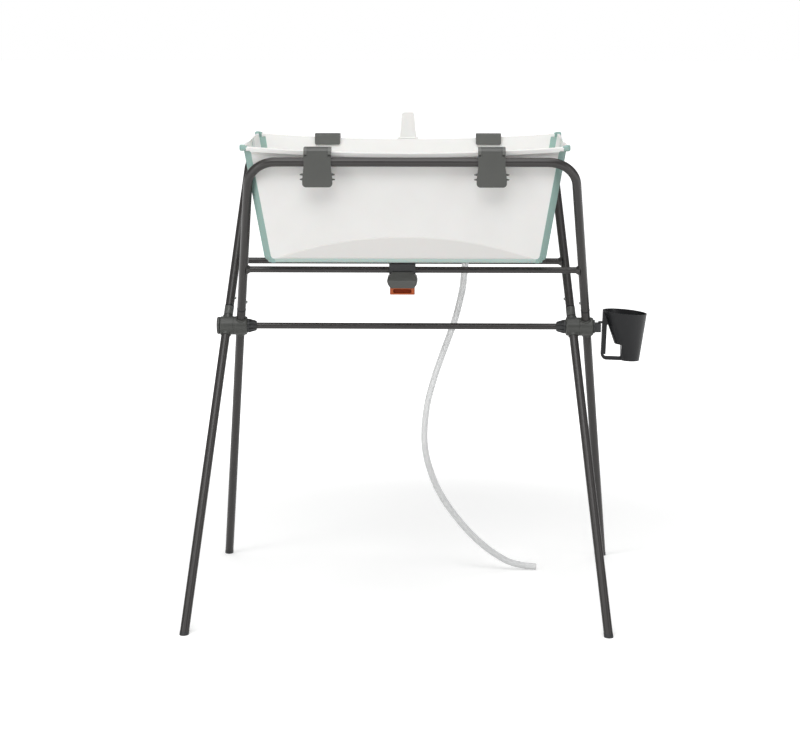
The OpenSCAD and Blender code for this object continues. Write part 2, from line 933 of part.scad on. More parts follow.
module drain_spout() {
    z = floor_z - panel_t / 2;
    color(c_clear) place()
        translate([drain_x, drain_y, 0])
            difference() {
                union() {
                    translate([0, 0, z - 5])
                        cylinder(h = 5, d = drain_bore + 14);
                    translate([0, 0, z - 9])
                        cylinder(h = 4, d1 = hose_d + 4, d2 = drain_bore + 8);
                    translate([0, 0, z - spout_l + slack])
                        cylinder(h = spout_l - 6, d = hose_d);
                }
                translate([0, 0, z - 4])
                    cylinder(h = 5, d = drain_bore);
                translate([0, 0, z - spout_l - 1])
                    cylinder(h = spout_l, d = hose_d - 5);
            }
}

module drain_plug() {
    z = floor_z + panel_t / 2 + 1.6;
    color(c_aqua) place()
        translate([drain_x, drain_y, z]) {
            translate([0, 0, slack])
                rotate_extrude()
                    polygon([[0, 0], [drain_bore / 2 + 5, 0], [drain_bore / 2 + 5, 1.6], [drain_bore / 2 + 3, 3], [0, 3]]);
            translate([0, 0, -5])
                cylinder(h = 6, d1 = drain_bore - 2.4, d2 = drain_bore - 1);
            // Pull tab
            translate([0, 0, 3])
                rotate([90, 0, 0])
                    linear_extrude(3, center = true)
                        difference() {
                            union() {
                                translate([-5, 0])
                                    square([10, 4]);
                                translate([0, 4])
                                    circle(5);
                            }
                            translate([0, 4])
                                circle(2.5);
                        }
        }
}

// Ring of points square to the route at one of its points
function route_dir(r, i) = let (a = r[max(i - 1, 0)], b = r[min(i + 1, len(r) - 1)]) (b - a) / norm(b - a);
function ring(r, i, rad, n) = let (
        d = i == 0 ? [0, 0, -1] : i == len(r) - 1 ? unit(r[i] - r[i - 1]) : route_dir(r, i),
        u = unit(cross(d, [0, 1, 0.2])),
        v = cross(d, u))
    [for (k = [0:n - 1]) r[i] + rad * (cos(360 * k / n) * u + sin(360 * k / n) * v)];
function unit(v) = v / norm(v);

module tube_along(r, d, n) {
    m = len(r);
    points = [for (i = [0:m - 1]) each ring(r, i, d / 2, n)];
    sides = [for (i = [0:m - 2]) for (k = [0:n - 1])
        let (a = i * n + k, b = i * n + (k + 1) % n)
            each [[a, b, a + n], [b, b + n, a + n]]];
    first = [[for (k = [0:n - 1]) n - 1 - k]];
    last = [[for (k = [0:n - 1]) (m - 1) * n + k]];
    polyhedron(points = points, faces = concat(sides, first, last));
}

module drain_hose() {
    color(c_clear) place()
        tube_along(hose_route, hose_d, hose_sides);
}

// Ends of the bath in two halves, which fold inward at their middle

// Half of an end in front of the middle, drawn in from the corner, the bottom and the middle
module end_outline(side, low, mid, high) {
    k = (rim_y - floor_y) / end_h;
    polygon([[-floor_y - low * k + side, low], [-mid, low], [-mid, high], [-floor_y - high * k + side, high]]);
}

module end_half(front, right) {
    color(c_white) place()
        in_end(front, right) {
            translate([0, 0, -panel_t / 2])
                linear_extrude(panel_t)
                    end_outline(seam_w + slack, low_seam_w + slack / 2, end_seam_w + slack / 2, end_h + rim_h / 2);
            translate([0, 0, -panel_t / 2])
                linear_extrude(panel_t / 2 + rim_out - 3)
                    end_outline(seam_w + 5, end_h - rim_h / 2, end_seam_w + 24, end_h + rim_h / 2);
        }
}

module end_crease(front, right) {
    color(c_aqua) place()
        in_end(front, right)
            translate([0, 0, -panel_t / 2])
                linear_extrude(panel_t) {
                    polygon([[-end_seam_w, low_seam_w], [-slack / 2, low_seam_w], [-slack / 2, end_h + rim_h / 2],
                        [-end_seam_w, end_h + rim_h / 2]]);
                    polygon([[-floor_y + seam_w + slack, 0], [-slack / 2, 0], [-slack / 2, low_seam_w],
                        [-floor_y + seam_w + slack, low_seam_w]]);
                }
}

// Soft triangle between an end and the bottom
module gusset(front, right) {
    k = gusset_d / floor_y;
    t = 1.2;
    near = seam_w + 1;
    color(c_aqua) place()
        mirror([right ? 0 : 1, 0, 0])
            mirror([0, front ? 0 : 1, 0])
                translate([0, 0, floor_z - t / 2])
                    linear_extrude(t)
                        polygon([[floor_x - panel_t / 2 - slack, -floor_y + near],
                            [floor_x - panel_t / 2 - slack, -slack / 2],
                            [floor_x - gusset_d + slack, -slack / 2],
                            [floor_x - near * k + slack, -floor_y + near]]);
}

// Closing strap on the rear rim, with a wide foot and a rounded tip

module strap_outline() {
    r = 5;
    polygon([[-strap_w / 2, 0], [strap_w / 2, 0], [strap_w / 2 - 1, 6], [strap_w / 2 - 3, 20],
        [strap_tip_w / 2, strap_h - r], [strap_tip_w / 2 - r, strap_h - r], [strap_tip_w / 2 - r, strap_h],
        [-strap_tip_w / 2 + r, strap_h], [-strap_tip_w / 2 + r, strap_h - r], [-strap_tip_w / 2, strap_h - r],
        [-strap_w / 2 + 3, 20], [-strap_w / 2 + 1, 6]]);
    for (sx = [-1, 1])
        translate([sx * (strap_tip_w / 2 - r), strap_h - r])
            circle(r);
}

module closing_strap() {
    color(c_white) place()
        translate([0, strap_c[0], strap_c[1]])
            difference() {
                union() {
                    rotate([90, 0, 0])
                        linear_extrude(3, center = true)
                            strap_outline();
                    translate([-strap_w / 2, 0, 0])
                        rotate([0, 90, 0])
                            cylinder(h = strap_w, d = 4.4);
                }
                translate([-strap_w / 2 - 1, 0, 0])
                    rotate([0, 90, 0])
                        cylinder(h = strap_w + 2, d = 2.4 + 2 * running);
            }
}

module strap_pin() {
    color(c_tube) place()
        translate([-strap_w / 2 - slack - 4, strap_c[0], strap_c[1]])
            rotate([0, 90, 0])
                cylinder(h = strap_w + 2 * slack + 8, d = 2.4);
}

// Rinse cup hooked on the right hub

// Solid form of the cup or, drawn in by its wall, the hollow in it
module cup_form(in) {
    difference() {
        hull() {
            translate([0, 0, in])
                cylinder(h = 1, r = cup_foot_d / 2 - in);
            translate([cup_mid, 0, cup_h])
                scale([cup_d / 2 - in, cup_w / 2 - in, 1])
                    cylinder(h = 12, r = 1);
        }
        // Straight side under the handle
        translate([-far - cup_foot_d / 2 + 0.5 + in, -far / 2, -1])
            cube([far, far, cup_h / 3 + in + 1]);
    }
}

module cup_handle() {
    r = 12;
    inner = 6;
    mouth = cup_mid - cup_d / 2;
    union() {
        // Upright grip and the web that joins it to the rim
        translate([-handle_reach, grip_low + r - inner])
            square([handle_t, cup_h - grip_low - r + inner]);
        difference() {
            translate([-handle_reach + handle_t - 1, cup_h - 34])
                square([22, 30]);
            translate([-handle_reach + handle_t + 3, cup_h - 34])
                circle(3.5);
        }
        // Rounded lower corner and the link to the foot
        difference() {
            translate([-handle_reach + r, grip_low + r - inner])
                circle(r);
            translate([-handle_reach + r, grip_low + r - inner])
                circle(r - inner);
            translate([-handle_reach - 1, grip_low + r - inner])
                square([4 * r, 2 * r]);
            translate([-handle_reach + r, -far])
                square([far, 2 * far]);
        }
        translate([-handle_reach + r - 0.1, grip_low - inner])
            square([handle_reach - r - cup_foot_d / 2 + 3, inner]);
    }
}

module rinse_cup() {
    reach = 6;
    color(c_dark) place()
        translate([cup_x, 0, cup_z]) {
            rotate([0, cup_tilt, 0])
                difference() {
                    union() {
                        cup_form(0);
                        rotate([90, 0, 0])
                            linear_extrude(18, center = true)
                                cup_handle();
                    }
                    cup_form(cup_t);
                    // Sloping rim, higher at the handle
                    translate([cup_mid - cup_d / 2, 0, cup_h])
                        rotate([0, rim_slope, 0])
                            translate([-far / 2, -far / 2, 0])
                                cube([far, far, far]);
                }
            // Tongue that drops into the holder
            translate([-handle_reach - 2 - tongue_t - slack, -tongue_w / 2, tongue_z - tongue_l + slack])
                cube([tongue_t, tongue_w, tongue_l + 3]);
            translate([-handle_reach - 2 - tongue_t - slack, -tongue_w / 2, tongue_z + slack])
                cube([2 + tongue_t + slack + reach, tongue_w, 3]);
        }
}

upper_frame(true);  // upper_frame_front
lower_bar(true);  // lower_bar_front
lower_legs(true);  // lower_legs_front
hub_collars(true);  // hub_collars_front
foot_caps(true);  // foot_caps_front
upper_frame(false);  // upper_frame_rear
lower_bar(false);  // lower_bar_rear
lower_legs(false);  // lower_legs_rear
hub_collars(false);  // hub_collars_rear
foot_caps(false);  // foot_caps_rear
spreader();
hub_cones();
hub_axles();
cup_holder();
snap_button(true, false);  // snap_button_front_left
snap_button(true, true);  // snap_button_front_right
snap_button(false, false);  // snap_button_rear_left
snap_button(false, true);  // snap_button_rear_right
lock_housing();
lock_saddle();
lock_arm();
release_button();
wall(true);  // wall_front
wall(false);  // wall_rear
seams(true);  // seams_front
seams(false);  // seams_rear
clip_bases(true);  // clip_bases_front
clip_bases(false);  // clip_bases_rear
clip_pins(true);  // clip_pins_front
clip_pins(false);  // clip_pins_rear
clip_flap(true, false);  // clip_flap_front_left
clip_flap(true, true);  // clip_flap_front_right
clip_flap(false, false);  // clip_flap_rear_left
clip_flap(false, true);  // clip_flap_rear_right
bottom(true);  // bottom_front
bottom(false);  // bottom_rear
bottom_crease(true);  // bottom_crease_front
bottom_crease(false);  // bottom_crease_rear
drain_ring();
drain_spout();
drain_plug();
drain_hose();
end_half(true, false);  // end_front_left
end_half(true, true);  // end_front_right
end_half(false, false);  // end_rear_left
end_half(false, true);  // end_rear_right
end_crease(true, false);  // end_crease_front_left
end_crease(true, true);  // end_crease_front_right
end_crease(false, false);  // end_crease_rear_left
end_crease(false, true);  // end_crease_rear_right
gusset(true, false);  // gusset_front_left
gusset(true, true);  // gusset_front_right
gusset(false, false);  // gusset_rear_left
gusset(false, true);  // gusset_rear_right
closing_strap();
strap_pin();
rinse_cup();
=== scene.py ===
"""Looks of the folding baby bath on its crossed tube stand.

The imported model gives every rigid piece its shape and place. This script gives each of them its
finish, and builds the flexible seams, the hose and the small trim around them.
Sizes in the classes are millimetres, and meshes are made in metres.
"""

import logging
import math
from collections.abc import Callable, Sequence
from dataclasses import dataclass
from enum import Enum
from functools import partial
from typing import ClassVar

import bmesh
import bpy
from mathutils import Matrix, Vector


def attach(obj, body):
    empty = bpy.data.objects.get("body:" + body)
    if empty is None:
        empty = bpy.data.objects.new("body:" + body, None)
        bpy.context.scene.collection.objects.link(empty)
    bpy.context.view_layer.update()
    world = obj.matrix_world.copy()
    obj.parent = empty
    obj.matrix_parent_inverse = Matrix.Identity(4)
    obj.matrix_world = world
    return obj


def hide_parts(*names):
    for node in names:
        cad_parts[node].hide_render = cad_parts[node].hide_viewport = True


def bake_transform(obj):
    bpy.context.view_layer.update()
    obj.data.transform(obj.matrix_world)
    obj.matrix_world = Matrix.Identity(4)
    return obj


log = logging.getLogger("folding_bath")

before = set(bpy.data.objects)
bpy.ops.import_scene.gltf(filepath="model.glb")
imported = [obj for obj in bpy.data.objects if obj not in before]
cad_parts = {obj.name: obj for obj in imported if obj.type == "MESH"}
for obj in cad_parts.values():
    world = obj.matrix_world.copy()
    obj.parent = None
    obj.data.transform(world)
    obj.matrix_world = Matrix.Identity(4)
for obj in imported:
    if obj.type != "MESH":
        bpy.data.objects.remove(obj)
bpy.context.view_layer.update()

MM = 0.001
ORIGIN_X = 28.0  # the photographed bath's middle lies this far from the part's own origin
CREASE_DEG = 40.0  # edges of new meshes that are sharper than this stay crisp in the shading
BEVEL_DEG = 35.0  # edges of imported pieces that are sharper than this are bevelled
WELD_MM = 0.005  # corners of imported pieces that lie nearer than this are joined
WHITE = (1.0, 1.0, 1.0, 1.0)
UP = Vector((0, 0, 1))

Point = tuple[float, float, float]
Face = tuple[int, ...]
Profile = Sequence[tuple[float, float]]
Edges = tuple[Vector, Vector]
Sections = Sequence[Sequence[Sequence[float]]]
Object = bpy.types.Object
Material = bpy.types.Material
Node = bpy.types.Node
Socket = bpy.types.NodeSocket
Tree = bpy.types.NodeTree


class Pair(Enum):
    """Two opposite places, the first of them on the negative side of an axis."""

    @property
    def sign(self) -> int:
        """Direction of the place along the axis."""
        return -1 if self is next(iter(type(self))) else 1

    def __str__(self) -> str:
        """The name that pieces have for the place."""
        return self.value


class Side(Pair):
    """Long side of the bath, along Y, seen by the person who stands before it."""

    FRONT = "front"
    REAR = "rear"


class Hand(Pair):
    """End of the bath, along X, seen from the front."""

    LEFT = "left"
    RIGHT = "right"


# -------- Small tools for nodes --------


def linear(hex_colour: str) -> tuple[float, float, float, float]:
    """Turns an sRGB hex colour to the linear values that a shader socket takes.

    Args:
        hex_colour: Six hex digits after a hash.

    Returns:
        Linear red, green, blue and an alpha of 1.
    """
    parts = [int(hex_colour[i : i + 2], 16) / 255 for i in (1, 3, 5)]
    return *(c / 12.92 if c <= 0.04045 else ((c + 0.055) / 1.055) ** 2.4 for c in parts), 1.0


def add_node(tree: Tree, kind: str, inputs: dict | None = None, **settings: object) -> Node:
    """Adds one shader node with its settings, values and links.

    Args:
        tree: Node tree that gets the node.
        kind: Node type, such as ShaderNodeBump.
        inputs: Input name or number, with a value or the socket that feeds it.
        **settings: Properties of the node itself.

    Returns:
        The new node.
    """
    made = tree.nodes.new(kind)
    for name, value in settings.items():
        setattr(made, name, value)
    for key, value in (inputs or {}).items():
        if isinstance(value, Socket):
            tree.links.new(value, made.inputs[key])
        else:
            made.inputs[key].default_value = value
    return made


def new_material(name: str) -> tuple[Material, Tree, Socket]:
    """Starts a node material.

    Args:
        name: Plain name of the material and its finish.

    Returns:
        The material, its node tree and the object coordinates, which are in metres.
    """
    made = bpy.data.materials.new(name)
    made.use_nodes = True
    made.node_tree.nodes.clear()
    place = add_node(made.node_tree, "ShaderNodeTexCoord").outputs["Object"]
    return made, made.node_tree, place


def noise(tree: Tree, place: Socket, size_mm: float, detail: float) -> Socket:
    """Cloudy noise in patches of size_mm, with finer noise in it as detail rises."""
    inputs = {"Vector": place, "Scale": 1000 / size_mm, "Detail": detail}
    return add_node(tree, "ShaderNodeTexNoise", inputs).outputs["Fac"]


def blend_tone(tree: Tree, share: Socket, first: object, second: object) -> Socket:
    """Colour that goes from the first to the second as share goes from 0 to 1."""
    inputs = {0: share, 6: first, 7: second}
    return add_node(tree, "ShaderNodeMix", inputs, data_type="RGBA").outputs[2]


def remap(
    tree: Tree,
    value: Socket,
    to: tuple[float, float],
    start: tuple[float, float] = (0.0, 1.0),
    smooth: bool = False,
) -> Socket:
    """Stretches a value from the range start to the range to, eased at both ends if smooth.

    Args:
        tree: Node tree.
        value: Socket with the value.
        to: Range that it goes to.
        start: Range that it comes from.
        smooth: Whether it is eased at both ends.

    Returns:
        Socket with the stretched value.
    """
    keys = ("Value", "From Min", "From Max", "To Min", "To Max")
    inputs = dict(zip(keys, (value, *start, *to)))
    kind = "SMOOTHSTEP" if smooth else "LINEAR"
    return add_node(tree, "ShaderNodeMapRange", inputs, interpolation_type=kind).outputs["Result"]


def bump(tree: Tree, height: Socket, strength: float, depth_mm: float) -> Socket:
    """Normal of a surface whose bumps are depth_mm high."""
    inputs = {"Height": height, "Strength": strength, "Distance": depth_mm * MM}
    return add_node(tree, "ShaderNodeBump", inputs).outputs["Normal"]


def finished(made: Material, inputs: dict) -> Material:
    """Completes a material with a surface shader.

    Args:
        made: Material without a shader.
        inputs: What the shader gets, by input.

    Returns:
        The same material.
    """
    shader = add_node(made.node_tree, "ShaderNodeBsdfPrincipled", inputs)
    add_node(made.node_tree, "ShaderNodeOutputMaterial", {"Surface": shader.outputs["BSDF"]})
    return made


def any_ray(tree: Tree, *kinds: str) -> Socket:
    """Tells some kinds of rays from all the others.

    Args:
        tree: Node tree.
        *kinds: Outputs of the light path node, by name.

    Returns:
        Socket that is 1 for rays of these kinds and 0 for the others.
    """
    rays = add_node(tree, "ShaderNodeLightPath").outputs
    found = rays[kinds[0]]
    for kind in kinds[1:]:
        pair = {0: found, 1: rays[kind]}
        found = add_node(tree, "ShaderNodeMath", pair, operation="MAXIMUM").outputs[0]
    return found


# -------- Small tools for meshes --------


def build_mesh(name: str, points: Sequence[Sequence[float]], faces: list[Face]) -> Object:
    """Makes a mesh object from points in metres.

    Args:
        name: Name of the piece.
        points: Vertices in the part's own frame.
        faces: Vertex numbers of each face.

    Returns:
        The linked object, with outward normals.
    """
    mesh = bpy.data.meshes.new(name)
    mesh.from_pydata([tuple(p) for p in points], [], faces)
    made = bmesh.new()
    made.from_mesh(mesh)
    bmesh.ops.remove_doubles(made, verts=made.verts, dist=0.001 * MM)
    bmesh.ops.recalc_face_normals(made, faces=made.faces)
    made.to_mesh(mesh)
    made.free()
    mesh.polygons.foreach_set("use_smooth", [True] * len(mesh.polygons))
    mesh.set_sharp_from_angle(angle=math.radians(CREASE_DEG))
    piece = bpy.data.objects.new(name, mesh)
    bpy.context.scene.collection.objects.link(piece)
    return piece


def grid_faces(rows: int, columns: int, wrap_rows: bool = False) -> list[Face]:
    """Quads between neighbouring points of a grid whose rows are closed rings.

    Args:
        rows: Number of rows.
        columns: Points in a row.
        wrap_rows: Whether the last row joins the first.

    Returns:
        Faces as vertex numbers.
    """
    faces = []
    for r in range(rows if wrap_rows else rows - 1):
        for c in range(columns):
            r2, c2 = (r + 1) % rows, (c + 1) % columns
            here, there = r * columns, r2 * columns
            faces.append((here + c, here + c2, there + c2, there + c))
    return faces


def loft(name: str, sections: Sections) -> Object:
    """Joins closed sections of equal count into one skin with closed ends.

    Args:
        name: Name of the piece.
        sections: Rings of points in metres.

    Returns:
        The lofted object.
    """
    rows, columns = len(sections), len(sections[0])
    faces = grid_faces(rows, columns)
    faces += [tuple(range(columns)), tuple((rows - 1) * columns + k for k in range(columns))]
    return build_mesh(name, [p for ring in sections for p in ring], faces)


def headings(path: Sequence[Vector]) -> list[Vector]:
    """Direction of a path at each of its points."""
    ends = [path[0], *path, path[-1]]
    return [(b - a).normalized() for a, b in zip(ends, ends[2:])]


def bezier(points: Sequence[Vector], share: float) -> Vector:
    """Finds a point of a Bezier curve.

    Args:
        points: Its control points.
        share: Share of the way to the last one.

    Returns:
        The point.
    """
    while len(points) > 1:
        points = [a.lerp(b, share) for a, b in zip(points, points[1:])]
    return points[0]


def circle(count: int) -> Profile:
    """Cosine and sine of as many even steps round a circle."""
    turns = [2 * math.pi * k / count for k in range(count)]
    return [(math.cos(turn), math.sin(turn)) for turn in turns]


def squared_circle(count: int, power: float) -> Profile:
    """Makes a circle that comes nearer to a square as power goes from 1 to 0.

    Args:
        count: Number of its points.
        power: Exponent of cosine and sine.

    Returns:
        Its points, within 1 of the middle.
    """
    return [
        (math.copysign(abs(c) ** power, c), math.copysign(abs(s) ** power, s))
        for c, s in circle(count)
    ]


def two_faced(face_row: Callable[[int], list[Vector]]) -> list[Vector]:
    """Closed ring out of a row of points on face 1 and the row opposite it on face -1."""
    return face_row(1) + face_row(-1)[::-1]


def lathe(name: str, profile: Profile, at: Vector, along: Vector, sides: int = 48) -> Object:
    """Turns a closed profile round an axis.

    Args:
        name: Name of the piece.
        profile: Closed loop of (radius, height) in millimetres.
        at: Foot of the axis, in metres.
        along: Direction of the axis.
        sides: Facets round the axis.

    Returns:
        The turned object.
    """
    axis = along.normalized()
    across = axis.orthogonal().normalized()
    third = axis.cross(across)
    points = []
    for c, s in circle(sides):
        out = across * c + third * s
        points += [at + (out * r + axis * h) * MM for r, h in profile]
    return build_mesh(name, points, grid_faces(sides, len(profile), wrap_rows=True))


@dataclass(frozen=True)
class Strip:
    """Flat soft strip with rounded edges."""

    half: float  # half of its thickness
    ribs: float = 0.0  # height of the fine ribs along it
    pitch: float = 6.0  # distance from one rib to the next

    def profile(self, width: float) -> Profile:
        """Cross section of the strip.

        Args:
            width: Its width in millimetres.

        Returns:
            Shares of the way across it, and half of its thickness at each.
        """
        cuts = [0.0, min(0.35 / width, 0.04), min(1.0 / width, 0.08)]
        shares = list(cuts)
        if self.ribs:
            count = max(4, min(48, int(width / 1.5)))
            shares += [cuts[2] + (1 - 2 * cuts[2]) * k / count for k in range(1, count)]
        shares += [1 - c for c in cuts[::-1]]
        points = []
        for share in shares:
            edge = min(share, 1 - share) * width
            half = self.half * (0.25 if edge < 0.01 else 0.8 if edge < 0.6 else 1.0)
            if self.ribs and edge > 1.2:
                half += self.ribs * (0.5 + 0.5 * math.cos(2 * math.pi * edge / self.pitch))
            points.append((share, half))
        return points

    def build(self, name: str, rows: Sequence[Edges], off: Vector) -> Object:
        """Builds the strip.

        Args:
            name: Name of the piece.
            rows: Two opposite edge points of each row, in metres.
            off: Direction square to the strip.

        Returns:
            The strip.
        """
        up = off.normalized() * MM
        sections = []
        for a, b in rows:
            cut = self.profile((b - a).length / MM)
            sections.append(
                two_faced(lambda face: [a.lerp(b, share) + up * half * face for share, half in cut])
            )
        return loft(name, sections)


@dataclass(frozen=True)
class BendingStrip(Strip):
    """Strip with enough points across it to bend smoothly, thinner at its second edge."""

    thin: float = 0.7  # half of its thickness at that edge

    def profile(self, width: float) -> Profile:
        """Cross section of the strip.

        Args:
            width: Unused here, as it is given by share.

        Returns:
            Profile as that of a Strip.
        """
        points = []
        for share in (k / 26 for k in range(27)):
            half = self.half + (self.thin - self.half) * max(0.0, share - 0.6) / 0.2
            round_off = min(1.0, 0.3 + 9 * min(share, 1 - share))
            points.append((share, max(half, self.thin) * round_off))
        return points


def settle(piece: Object, finish: Material, slot: str, *nodes: str, body: str = "") -> None:
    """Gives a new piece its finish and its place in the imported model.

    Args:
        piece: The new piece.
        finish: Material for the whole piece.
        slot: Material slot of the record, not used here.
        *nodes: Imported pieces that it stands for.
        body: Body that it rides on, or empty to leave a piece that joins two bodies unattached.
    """
    piece.data.materials.append(finish)
    if body:
        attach(piece, body)
    if nodes:
        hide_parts(*nodes)
    log.info("built %s", piece.name)


# -------- Finishes --------


@dataclass(frozen=True)
class Moulded:
    """Injection-moulded plastic with a spark-eroded texture from its tool."""

    name: str
    colour: str
    shade: str  # slightly darker colour of the patches that flow marks leave
    roughness: float
    grain_mm: float  # distance between the bumps of the tool's texture
    depth_mm: float  # height of those bumps
    light_in: float = 0.0  # share of light that scatters inside the plastic
    scatter_mm: float = 2.0  # depth to which it goes
    ior: float = 1.49
    flow_mm: float = 60.0  # length of the flow marks

    def tone(self, tree: Tree, place: Socket, flow: Socket) -> Socket:
        """Colour of the plastic, a little darker where the flow marks are."""
        return blend_tone(tree, flow, linear(self.colour), linear(self.shade))

    def material(self) -> Material:
        """Builds the node material of this plastic.

        Returns:
            The material.
        """
        made, tree, place = new_material(self.name)
        # Flow marks a few centimetres long, so that wide faces aren't one even tone
        flow = noise(tree, place, self.flow_mm, 3.0)
        inputs = {
            "Base Color": self.tone(tree, place, flow),
            "Roughness": remap(tree, flow, (self.roughness - 0.05, self.roughness + 0.07)),
            "Normal": bump(tree, noise(tree, place, self.grain_mm, 2.0), 0.5, self.depth_mm),
            "IOR": self.ior,
            "Subsurface Weight": self.light_in,
            "Subsurface Scale": self.scatter_mm * MM,
        }
        return finished(made, inputs)


@dataclass(frozen=True)
class ArchedWall(Moulded):
    """Moulded long wall, whose arched field over the bottom seam is drawn a little greyer, as
    painted shade on the lower wall.
    """

    # greyer colour inside the arch: painted shade of the lower wall
    field: str = "#e6e4e1"
    rise_mm: float = 55.0  # height of the arch over the lower edge of the wall
    half_span_mm: float = 293.0  # half of its span at that edge
    foot_mm: float = 756.0  # height of that edge over the floor
    blur_mm: tuple[float, float] = (5.0, 1.0)  # soft edge inside the arch and outside it

    def tone(self, tree: Tree, place: Socket, flow: Socket) -> Socket:
        """Colour of the plastic, mixed with the greyer painted shade inside the arch.

        Args:
            tree: Node tree.
            place: Object coordinates.
            flow: Flow marks.

        Returns:
            Socket with the colour.
        """
        radius = (self.half_span_mm**2 + self.rise_mm**2) / (2 * self.rise_mm)
        centre = (-ORIGIN_X * MM, 0.0, (self.foot_mm + self.rise_mm - radius) * MM)
        pair = {0: place, 1: (1.0, 0.0, 1.0)}
        upright = add_node(tree, "ShaderNodeVectorMath", pair, operation="MULTIPLY").outputs[0]
        pair = {0: upright, 1: centre}
        far = add_node(tree, "ShaderNodeVectorMath", pair, operation="DISTANCE").outputs["Value"]
        edge = ((radius - self.blur_mm[0]) * MM, (radius + self.blur_mm[1]) * MM)
        # Share of the painted shade: 1 inside the arch and 0 outside, with soft edges
        inside = remap(tree, far, (1.0, 0.0), edge, smooth=True)
        return blend_tone(tree, inside, super().tone(tree, place, flow), linear(self.field))


@dataclass(frozen=True)
class PowderCoat:
    """Powder-coated steel tube, with the orange peel of the baked powder."""

    name: str
    colour: str
    fleck: str  # colour of the lighter grains in it
    roughness: float = 0.33
    peel_mm: float = 2.6  # real peel is about 1 mm, drawn coarser so that it shows
    fleck_mm: float = 0.9

    def material(self) -> Material:
        """Builds the node material of the coating.

        Returns:
            The material.
        """
        made, tree, place = new_material(self.name)
        peel = noise(tree, place, self.peel_mm, 1.0)
        grain = {"Vector": place, "Scale": 1000 / self.fleck_mm}
        far = add_node(tree, "ShaderNodeTexVoronoi", grain).outputs["Distance"]
        fleck = remap(tree, far, (0.35, 0.0), (0.0, 0.22))
        inputs = {
            "Base Color": blend_tone(tree, fleck, linear(self.colour), linear(self.fleck)),
            "Roughness": self.roughness,
            "Normal": bump(tree, peel, 0.35, 0.06),
            "IOR": 1.5,
        }
        return finished(made, inputs)


@dataclass(frozen=True)
class ZincPlate:
    """Zinc-plated steel of the pins and snap buttons, with cloudy plating."""

    name: str
    colour: str
    roughness: float = 0.32
    cloud_mm: float = 6.0

    def material(self) -> Material:
        """Builds the node material of the plated steel.

        Returns:
            The material.
        """
        made, tree, place = new_material(self.name)
        cloud = noise(tree, place, self.cloud_mm, 4.0)
        inputs = {
            "Base Color": linear(self.colour),
            "Metallic": 1.0,
            "Roughness": remap(tree, cloud, (self.roughness - 0.08, self.roughness + 0.12)),
            "Normal": bump(tree, cloud, 0.2, 0.02),
        }
        return finished(made, inputs)


@dataclass(frozen=True)
class ClearVinyl:
    """Extruded clear PVC of the drain hose, slightly milky, denser where it is seen edge on."""

    name: str
    colour: str
    shade: str
    roughness: float = 0.24
    haze_mm: float = 25.0
    face_on: float = 0.33  # opacity of one wall seen square on
    edge_on: float = 0.8  # opacity of one wall seen along its surface

    def material(self) -> Material:
        """Builds the node material of the hose.

        Returns:
            The material.
        """
        made, tree, place = new_material(self.name)
        haze = noise(tree, place, self.haze_mm, 2.0)
        slant = add_node(tree, "ShaderNodeLayerWeight", {"Blend": 0.5}).outputs["Facing"]
        inputs = {
            "Base Color": blend_tone(tree, haze, linear(self.colour), linear(self.shade)),
            "Roughness": remap(tree, haze, (self.roughness - 0.06, self.roughness + 0.1)),
            "IOR": 1.45,
            "Alpha": remap(tree, slant, (self.face_on, self.edge_on)),
        }
        return finished(made, inputs)


class Finishes:
    """All finishes of the bath, made once and shared by the pieces."""

    def __init__(self) -> None:
        """Makes each material from its description."""
        self.tube = PowderCoat("powder_coated_steel", "#322f2e", "#4b4947").material()
        self.steel = ZincPlate("zinc_plated_steel", "#8f918f").material()
        self.clear = ClearVinyl("extruded_clear_pvc", "#fafafa", "#f0f1f1").material()
        nylon, pp, abs_orange = "moulded_nylon_grey", "moulded_polypropylene", "moulded_abs_orange"
        # Glass-filled nylon: matt, a little grainy from its fibres
        self.hub = Moulded(nylon, "#4a4b48", "#40413e", 0.40, 1.6, 0.10).material()
        self.clip = Moulded(f"{nylon}_smooth", "#585956", "#4d4e4b", 0.33, 1.6, 0.06).material()
        # Clip bases: a lighter copy of the clips' nylon, painted light for faces that catch the
        # lamps
        self.clip_base = Moulded(f"{nylon}_painted_light", "#6e6f6c", "#626360", 0.36, 1.6, 0.06).material()
        self.dark = Moulded(f"{pp}_black", "#313233", "#2b2c2d", 0.44, 1.4, 0.06).material()
        cup = Moulded(f"{pp}_charcoal", "#121316", "#0e0f12", 0.40, 1.4, 0.05, ior=1.42)
        self.cup = cup.material()
        self.button = Moulded(abs_orange, "#b8551e", "#a84a18", 0.36, 1.6, 0.04).material()
        # Darker orange of the field in the button's hollow: painted shade of the recess
        grip = Moulded(f"{abs_orange}_deep", "#862c02", "#762402", 0.5, 0.9, 0.06, ior=1.3)
        self.grip = grip.material()
        # Soft TPE lets light a little way in, which keeps the seams pale at their edges
        seam = Moulded("moulded_tpe_aqua", "#9dbbb3", "#92b0a8", 0.50, 1.8, 0.08, 0.12)
        self.seam = seam.material()
        # The bottom seams are thinner and let more light in, and their paler copy of the aqua is
        # painted light for the white light from inside the bath that shows through them
        pale = Moulded("moulded_tpe_aqua_pale", "#bfd2cb", "#b4c9c2", 0.50, 1.8, 0.08, 0.2)
        self.seam_painted_light = pale.material()
        web = Moulded("moulded_tpe_white", "#f1f1ee", "#e9eae6", 0.55, 1.8, 0.08, 0.1)
        self.web = web.material()
        white = ("#f6f5f3", "#f0efec", 0.40, 2.2, 0.05, 0.05)
        self.white = Moulded(f"{pp}_white", *white).material()
        # The long walls carry painted shade in their arched field
        self.wall = ArchedWall(f"{pp}_white_arched", *white).material()


# -------- Studio --------


